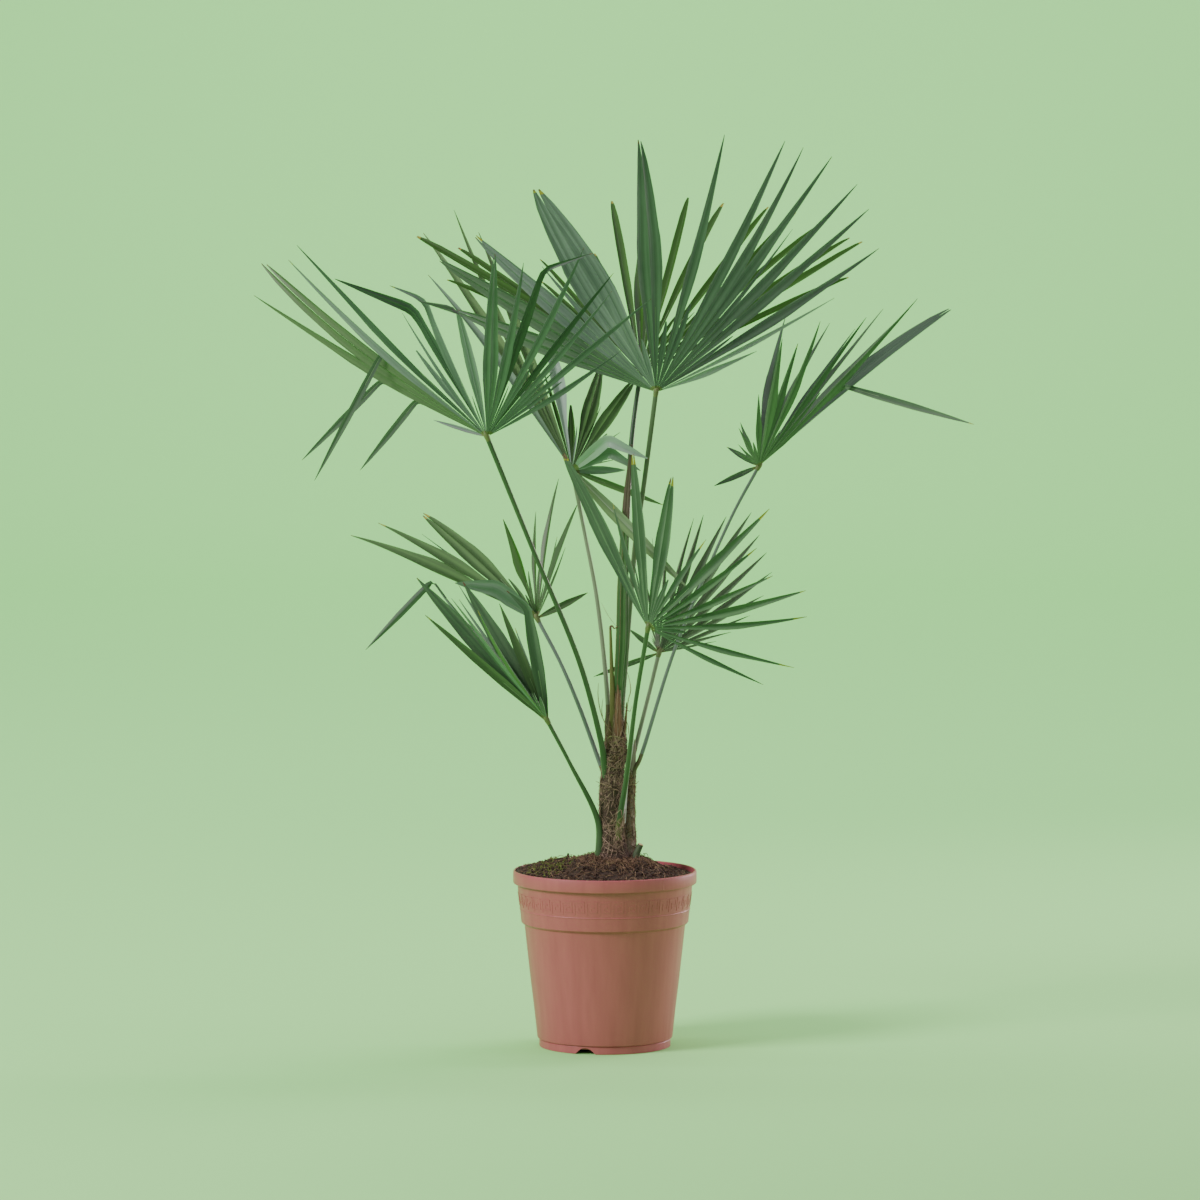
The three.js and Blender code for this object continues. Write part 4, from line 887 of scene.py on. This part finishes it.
def ribbonPatch(path, across, face, halfWidth, lift, thick, tones, tips=(1, 1), heart=0.0, folds=1):
    # pleated leaflet, closed: path + across u w + face (fold(u) lift +- thickness / 2), with rows along the
    # path, where fold(u) is 0 on each rib and 1 midway between two ribs. The tones are those of its upper and
    # lower side, and the tips the shares of its length from which it is yellow and brown.
    ribs = -1 + (2 * np.arange(folds) + 1) / folds
    u = np.concatenate([(ribs[:, None] + np.array([-1, -0.5, -0.05, 0.05, 0.5]) / folds).ravel(), [1]])
    fold = np.abs(np.mod((u + 1) * folds, 2) - 1)
    fold[-1] = 1
    thin = 1.3 - 0.8 * fold
    thin[[0, -1]] = 0.35
    middle = (path[:, None] + across[:, None] * (u[None, :, None] * halfWidth[:, None, None])
              + face[:, None] * ((fold[None, :] * lift[:, None])[:, :, None]))
    half = face[:, None] * (thin[None, :, None] * thick[:, None, None] / 2)
    ring = np.concatenate([middle + half, (middle - half)[:, ::-1]], 1)
    rows, n = ring.shape[:2]
    quads = gridQuads(rows, n, True)
    k = np.arange(len(u) - 1)
    startCap = np.stack([k, k + 1, n - 2 - k, n - 1 - k], 1)
    endCap = startCap[:, ::-1] + (rows - 1) * n
    length = lengthAlong(path)
    share = (length / length[-1])[:-1] + np.diff(length) / length[-1] / 2
    upper, under, rib = (toneNames.index(t) for t in (*tones, "rib"))
    isRib = np.tile([False, False, True, False, False], folds)
    top, bottom = np.full((rows - 1, len(k)), upper), np.full((rows - 1, len(k)), under)
    top[np.ix_(share < blade["ribShare"], isRib)] = rib
    edge = np.full((rows - 1, 1), upper)
    numbers = np.concatenate([top, edge, bottom, edge], 1)
    numbers[length[:-1] < heart] = toneNames.index("heart")
    numbers[share > tips[0]] = toneNames.index("yellow")
    numbers[share > tips[1]] = toneNames.index("brown")
    capTone = np.concatenate([np.full(len(k), upper), np.full(len(k), numbers[-1, 1])])
    uv = np.stack(np.broadcast_arrays((np.concatenate([u, u[::-1]])[None] * halfWidth[:, None]) / 10,
                                      length[:, None] / 10), -1).reshape(-1, 2)
    return (ring.reshape(-1, 3) * mm, np.concatenate([quads, startCap, endCap]),
            np.concatenate([numbers.ravel(), capTone]), uv)


def bentRows(start, way, at, onWay, reach, across, radius):
    # path that runs "at" along one way and then along the other: a running mean as long as the radius rounds its
    # corner, and the across way turns over twice the radius by 3 x^2 - 2 x^3
    s = np.linspace(0, reach, 160)
    path = start + np.minimum(s, at)[:, None] * way + np.maximum(s - at, 0)[:, None] * onWay
    onAcross = unit(np.cross(onWay, [0, 1, 0]))
    onAcross = onAcross * (1 if np.dot(onAcross, across) >= 0 else -1)
    share = np.clip((s - at + radius) / (2 * radius), 0, 1)[:, None]
    share = share * share * (3 - 2 * share)
    rows = max(1, int(radius / reach * 160 / 2))
    padded = np.concatenate([np.repeat(path[:1], rows, 0), path, np.repeat(path[-1:], rows, 0)])
    sums = np.cumsum(np.concatenate([np.zeros((1, 3)), padded]), 0)
    soft = (sums[2 * rows + 1:] - sums[:-2 * rows - 1]) / (2 * rows + 1)
    inside = (np.minimum(s, reach - s) > radius / 2)[:, None]
    path = np.where(inside, soft, path)
    along = unit(np.gradient(path, axis=0))
    acrossRows = across * (1 - share) + onAcross * share
    acrossRows = unit(acrossRows - along * np.sum(acrossRows * along, 1, keepdims=True))
    return s, path, acrossRows, np.cross(along, acrossRows)


def pickRows(values, s, stations):  # rows of three values at other places along a path
    return np.stack([np.interp(stations, s, values[:, i]) for i in range(3)], 1)


def tipShares(rng, leaf):
    # where along a leaflet its tip turns yellow and then brown, as shares of its length
    yellow = rng.uniform(0.955, 0.985) if rng.random() < leaf.get("yellowTips", 0.25) else 1.0
    brown = rng.uniform(0.982, 0.994) if rng.random() < 0.6 else 1.0
    return tuple(1 - (1 - share) * leaf.get("longTips", 1) for share in (min(yellow, brown), brown))


def stripPatches(leaf, number, middle, half, ribs, reach, rng):
    # one strip of the fan as its leaflets, side by side: straight rows from the hub, as wide as the wedge and then
    # as their shape says, with a bow, a curl, a sway and a twist that grow with "free", which is 0 up to where the
    # leaflets part and 1 at the tip. A short strip between longer ones is a filler, a plain wedge.
    along, across, face = bladeAxes(leaf, middle)
    turned = number in leaf.get("turned", [])
    bend = leaf.get("bends", {}).get(number)
    hub = np.array(leaf["hub"], float)
    others = [leaf["strips"][k][1] for k in (number - 1, number + 1) if 0 <= k < len(leaf["strips"])]
    filler = len(others) == 2 and reach < blade["fillerBelow"] * max(others) or number in leaf.get("skip", [])
    count = 2 if ribs >= 1.5 and not filler and not bend else 1
    folds = max(1, round(ribs / count))
    tone = leaf.get("tones", {}).get(number, leaf["tone"])
    pleat = leaf.get("pleat", 1)
    shape = np.array(blade[leaf.get("shape", "shape")] if count == 1 else blade["pairShape"])
    bow, curl, sway, twist = rng.normal(0, [0.010, 0.018, 0.006, 0.16]) * (0.3 if filler else 1)
    slim = leaf.get("slim", blade["slim"]) if ribs < 1.5 else 1
    slim = slim * leaf.get("wide", {}).get(number, 1)
    reach = reach * (blade["fillerReach"] if filler else 1)
    joined = leaf.get("joined", 0.28)
    patches = []
    for rib in range(count):
        own = reach * (1 - (0.03 * rng.random() if count > 1 else 0))
        if bend:
            s, path, sides, faces = bentRows(hub, along, bend[0], heading(*bend[1:]), own, across,
                                             blade["bendRadius"])
        else:
            s = np.linspace(0, own, 120)
            path, sides, faces = hub + s[:, None] * along, np.tile(across, (120, 1)), np.tile(face, (120, 1))
        stations = np.concatenate([[blade["root"]], np.linspace(blade["heart"], own * 0.5, 10),
                                   np.linspace(own * 0.5, own * 0.9, 11)[1:], own * blade["tipRows"]])
        path, sides, faces = (pickRows(values, s, stations) for values in (path, sides, faces))
        t = stations / own
        free = np.clip((t - 0.42) / 0.58, 0, 1) ** 2
        wedge = stations * math.tan(half)
        if filler:
            whole = wedge * np.interp(t, [0, 0.55, 1], [1, 1, 0.12])
        else:
            whole = np.minimum(wedge, math.tan(half) * blade["split"] * own) * np.interp(t, shape[:, 0], shape[:, 1])
            whole = whole * np.interp(t, [joined, joined + 0.2], [1, slim])
        offset = 2 * (rib + 0.5) / count - 1
        ribHalf = whole / count
        if count > 1:
            ribHalf = ribHalf * np.interp(t, [0, 0.93, 0.98, 1], [1, 1, 0.72, 0.3])
        ribHalf = np.maximum(ribHalf, 0.12)
        turnAngle = (twist * free)[:, None]
        spun = sides * np.cos(turnAngle) + faces * np.sin(turnAngle)
        spunFace = faces * np.cos(turnAngle) - sides * np.sin(turnAngle)
        path = (path - spun * (whole * offset)[:, None]
                + faces * (own * (bow * np.sin(math.pi * t) + curl * free))[:, None]
                + sides * (own * (sway * free + leaf.get("sways", {}).get(number, 0) * t ** 3))[:, None])
        lift = ribHalf / folds * pleat * (blade["pleat"] + (blade["freePleat"] - blade["pleat"]) * free)
        thick = np.interp(t, [0, 0.1, 0.8, 1], [0.5, 1, 0.8, 0.4]) * blade["thick"]
        if turned:
            spun, spunFace = -spun, -spunFace
        patches.append(ribbonPatch(path, spun, spunFace, ribHalf, lift, thick, (tone, leaf.get("under", "dull")),
                                   (1, 1) if filler else tipShares(rng, leaf), 0.5, folds))
    return patches


def loosePatch(start, way, at, onWay, reach, width, across, tone, tips, heart=3.0, root=0.25):
    # a single leaflet along a bent path, widest a third of the way out
    s, path, sides, faces = bentRows(start, way, at, onWay, reach, across, blade["looseBendRadius"])
    stations = reach * np.concatenate([np.linspace(0, 0.9, 24), blade["tipRows"]])
    path, sides, faces = (pickRows(values, s, stations) for values in (path, sides, faces))
    t = stations / reach
    outline = np.interp(t, [0, 0.15, 0.35, 0.6, 0.85, 1], [root, 0.7, 1, 0.95, 0.5, 0.05])
    halfWidth = np.maximum(width / 2 * outline, 0.12)
    thick = np.interp(t, [0, 0.1, 0.8, 1], [0.6, 1, 0.8, 0.4]) * blade["thick"]
    folds = 2 if width > 10 else 1
    return ribbonPatch(path, sides, faces, halfWidth, halfWidth * 0.34 / folds, thick, (tone, tone), tips, heart, folds)


def hubAndArrival(leaf):  # the hub, and the way in which the stalk comes to it
    hub = np.array(leaf["hub"], float)
    return hub, unit(hub - np.array(leaf["stalk"][-1]))


def hubPatch(leaf):
    # knot where the stalk ends: a short limb that swells and then narrows
    hub, arrival = hubAndArrival(leaf)
    path = hub + np.linspace(-3.3, 4, 12)[:, None] * arrival
    radii = np.interp(np.linspace(-3.3, 4, 12), [-3.3, -1, 1, 3, 4], [1.6, 1.9, 2.0, 1.5, 0.6])
    return tubePatch(path * mm, radii * mm, 14, slot=toneNames.index("heart"))


def fanPatches(leaf, rng):
    # the knot, then the strips one after the other from the fan's edge, then the leaflets that stand out of it
    hub = np.array(leaf["hub"], float)
    patches = [hubPatch(leaf)]
    edge = leaf["edge"]
    for number, (ribs, reach) in enumerate(leaf["strips"]):
        wide = ribs * leaf["step"]
        if number in leaf.get("skip", []):
            reach = blade["skipReach"] * max(part[1] for part in leaf["strips"][max(number - 1, 0):number + 2])
        patches += stripPatches(leaf, number, math.radians(edge - wide / 2), math.radians(wide / 2), ribs, reach, rng)
        edge -= wide
    strayTones = leaf.get("strayTones", []) + [leaf["tone"]] * 9
    for tone, (turn, lean, reach, width, *bend) in zip(strayTones, leaf.get("strays", [])):
        way = heading(turn, lean)
        at, onTurn, onLean = bend or (reach * 0.6, turn, lean)
        patches.append(loosePatch(hub + way, way, at, heading(onTurn, onLean), reach, width,
                                  unit(np.cross(way, [0, 1, 0])), tone, tipShares(rng, leaf)))
    return patches


def stalkPatch(leaf, count=70, sides=20):
    # limb up to 3 mm short of the hub, with a pale painted highlight down its right side, where the rim light falls,
    # and a brown foot
    hub, arrival = hubAndArrival(leaf)
    limb = dict(axis=leaf["stalk"] + [tuple(hub - arrival * 3)],
                radii=leaf["radii"] + [min(1.6, leaf["radii"][-1] + 0.1)])
    path, radii = limbRows(limb, count)
    points, quads, numbers, uv = tubePatch(path * mm, radii * mm, sides, flat=0.08, slot=stalkNames.index("foot"))
    skin = np.full((count - 1, sides), stalkNames.index(leaf["stalkTone"]))
    # the two columns that face right (+X) get the pale edge colour, a painted highlight of the rim light
    skin[:, [0, -1]] = stalkNames.index("edge")
    skin[path[1:, 2] < leaf.get("foot", 0)] = stalkNames.index("foot")
    numbers[:skin.size] = skin.ravel()
    return points, quads, numbers, uv


def hangingPatch(spec, rng):
    # the end of a bent leaflet, with a start that lies hidden in the fan
    leaf = next(item for item in leaves if item["name"] == spec["leaf"])
    along, across, face = bladeAxes(leaf, math.radians(spec["angle"]))
    start = np.array(leaf["hub"], float) + along * (spec["at"] - blade["lead"]) + face * spec.get("off", 0)
    return loosePatch(start, along, blade["lead"], heading(spec["turn"], spec.get("lean", 0)),
                      spec["reach"] + blade["lead"], blade["hangingWidth"], across, "mid", tipShares(rng, leaf),
                      heart=0, root=0.3)


for place, leaf in enumerate(leaves):
    letter = leaf["name"]
    makePiece("fan" + letter.upper(), fanPatches(leaf, np.random.default_rng(100 + place)), leafMaterials,
              ["frond_" + letter])
    makePiece("stalk" + letter.upper(), [stalkPatch(leaf)], stalkMaterials, ["stalk_" + letter])
for place, spec in enumerate(hanging):
    makePiece("leaflet" + spec["name"].title().replace("_", ""),
              [hangingPatch(spec, np.random.default_rng(300 + place))], leafMaterials,
              ["frond_" + spec["name"]])
print("leaves are made")


# Floor, light and camera

# In metres: how far the paper reaches to the sides and the front, where it starts to bend, far enough behind for
# a camera to go round, the radius of the bend and the paper's height
stage = dict(paper="#A2F592", reach=8, bend=4.6, radius=1.6, height=7)


def makeStage():
    # floor that sweeps up behind: flat, then a quarter circle, then upright
    arc = np.linspace(0, math.pi / 2, 24)[1:]
    y = np.concatenate([np.linspace(-stage["reach"], stage["bend"], 30),
                        stage["bend"] + stage["radius"] * np.sin(arc)])
    z = np.concatenate([np.zeros(30), stage["radius"] * (1 - np.cos(arc))])
    y, z = np.append(y, y[-1]), np.append(z, stage["height"])
    x = np.linspace(-stage["reach"], stage["reach"], 17)
    points = np.stack(np.broadcast_arrays(x[None], y[:, None], z[:, None]), -1).reshape(-1, 3)
    quads = gridQuads(len(y), len(x), False)[:, ::-1]
    mesh = bpy.data.meshes.new("stageSweep")
    mesh.from_pydata(points.tolist(), [], quads.tolist())
    mesh.shade_smooth()
    mesh.materials.append(startMaterial("stage paper", stage["paper"], 0.9)[0])  # matt, so that no light shows in it
    sweep = bpy.data.objects.new("stageSweep", mesh)
    bpy.context.scene.collection.objects.link(sweep)


def addSoftbox(name, place, target, size, power, colour, spread=180):
    # soft light of a width and height in metres, turned from its place to its target; its spread in degrees is
    # less than 180 where a honeycomb keeps it off the floor
    data = bpy.data.lights.new(name, "AREA")
    data.shape = "RECTANGLE"
    data.size, data.size_y = size
    data.energy = power
    data.spread = math.radians(spread)
    data.color = linearColour(colour)[:3]
    lamp = bpy.data.objects.new(name, data)
    lamp.location = place
    way = unit(np.array(target, float) - np.array(place, float))
    lamp.rotation_euler = (math.acos(-way[2]), 0, math.atan2(-way[0], way[1]))
    lamp.visible_camera = False
    bpy.context.scene.collection.objects.link(lamp)


makeStage()
world = bpy.data.worlds.new("studio")
world.use_nodes = True
world.node_tree.nodes["Background"].inputs["Color"].default_value = linearColour("#FFF5FB")
world.node_tree.nodes["Background"].inputs["Strength"].default_value = 0.46
bpy.context.scene.world = world
addSoftbox("keyLight", (-2.25, -1.4, 1.8), (0, 0, 0.35), (1.0, 1.0), 100, "#FFF4F8")  # main light, front left
addSoftbox("fillLight", (1.6, -2.2, 1.4), (0, 0, 0.3), (1.6, 1.8), 2, "#FFF4F8")  # softens the shade on the right
addSoftbox("rimLight", (1.55, 1.15, 0.5), (0, 0, 0.25), (1.3, 0.6), 6.0, "#FFDDEA", 70)  # right edges
addSoftbox("potLight", (2.2, -0.35, 0.8), (0, 0, 0.07), (0.7, 0.4), 0.9, "#F8C0E4", 60)  # the pot's right side
addSoftbox("topLight", (0, 0.9, 3.2), (0, 4, 1.2), (4, 1), 105, "#FFFFFF")  # the paper behind, and leaves from above
addSoftbox("paperLight", (0, 4.6, 3.4), (0, 6.0, 0.4), (4, 1), 62, "#FFFFFF")  # the upright paper

cameraPlace = dict(location=(-0.0035, -4.0, 0.617), pitch=4.265, lens=169.44)  # metres, degrees down, millimetres
cameraData = bpy.data.cameras.new("photoCamera")
cameraData.lens = cameraPlace["lens"]
cameraData.sensor_width = 36
camera = bpy.data.objects.new("photoCamera", cameraData)
camera.location = cameraPlace["location"]
camera.rotation_euler = (math.radians(90 - cameraPlace["pitch"]), 0, 0)
bpy.context.scene.collection.objects.link(camera)
bpy.context.scene.camera = camera
print("stage, lights and camera are made")
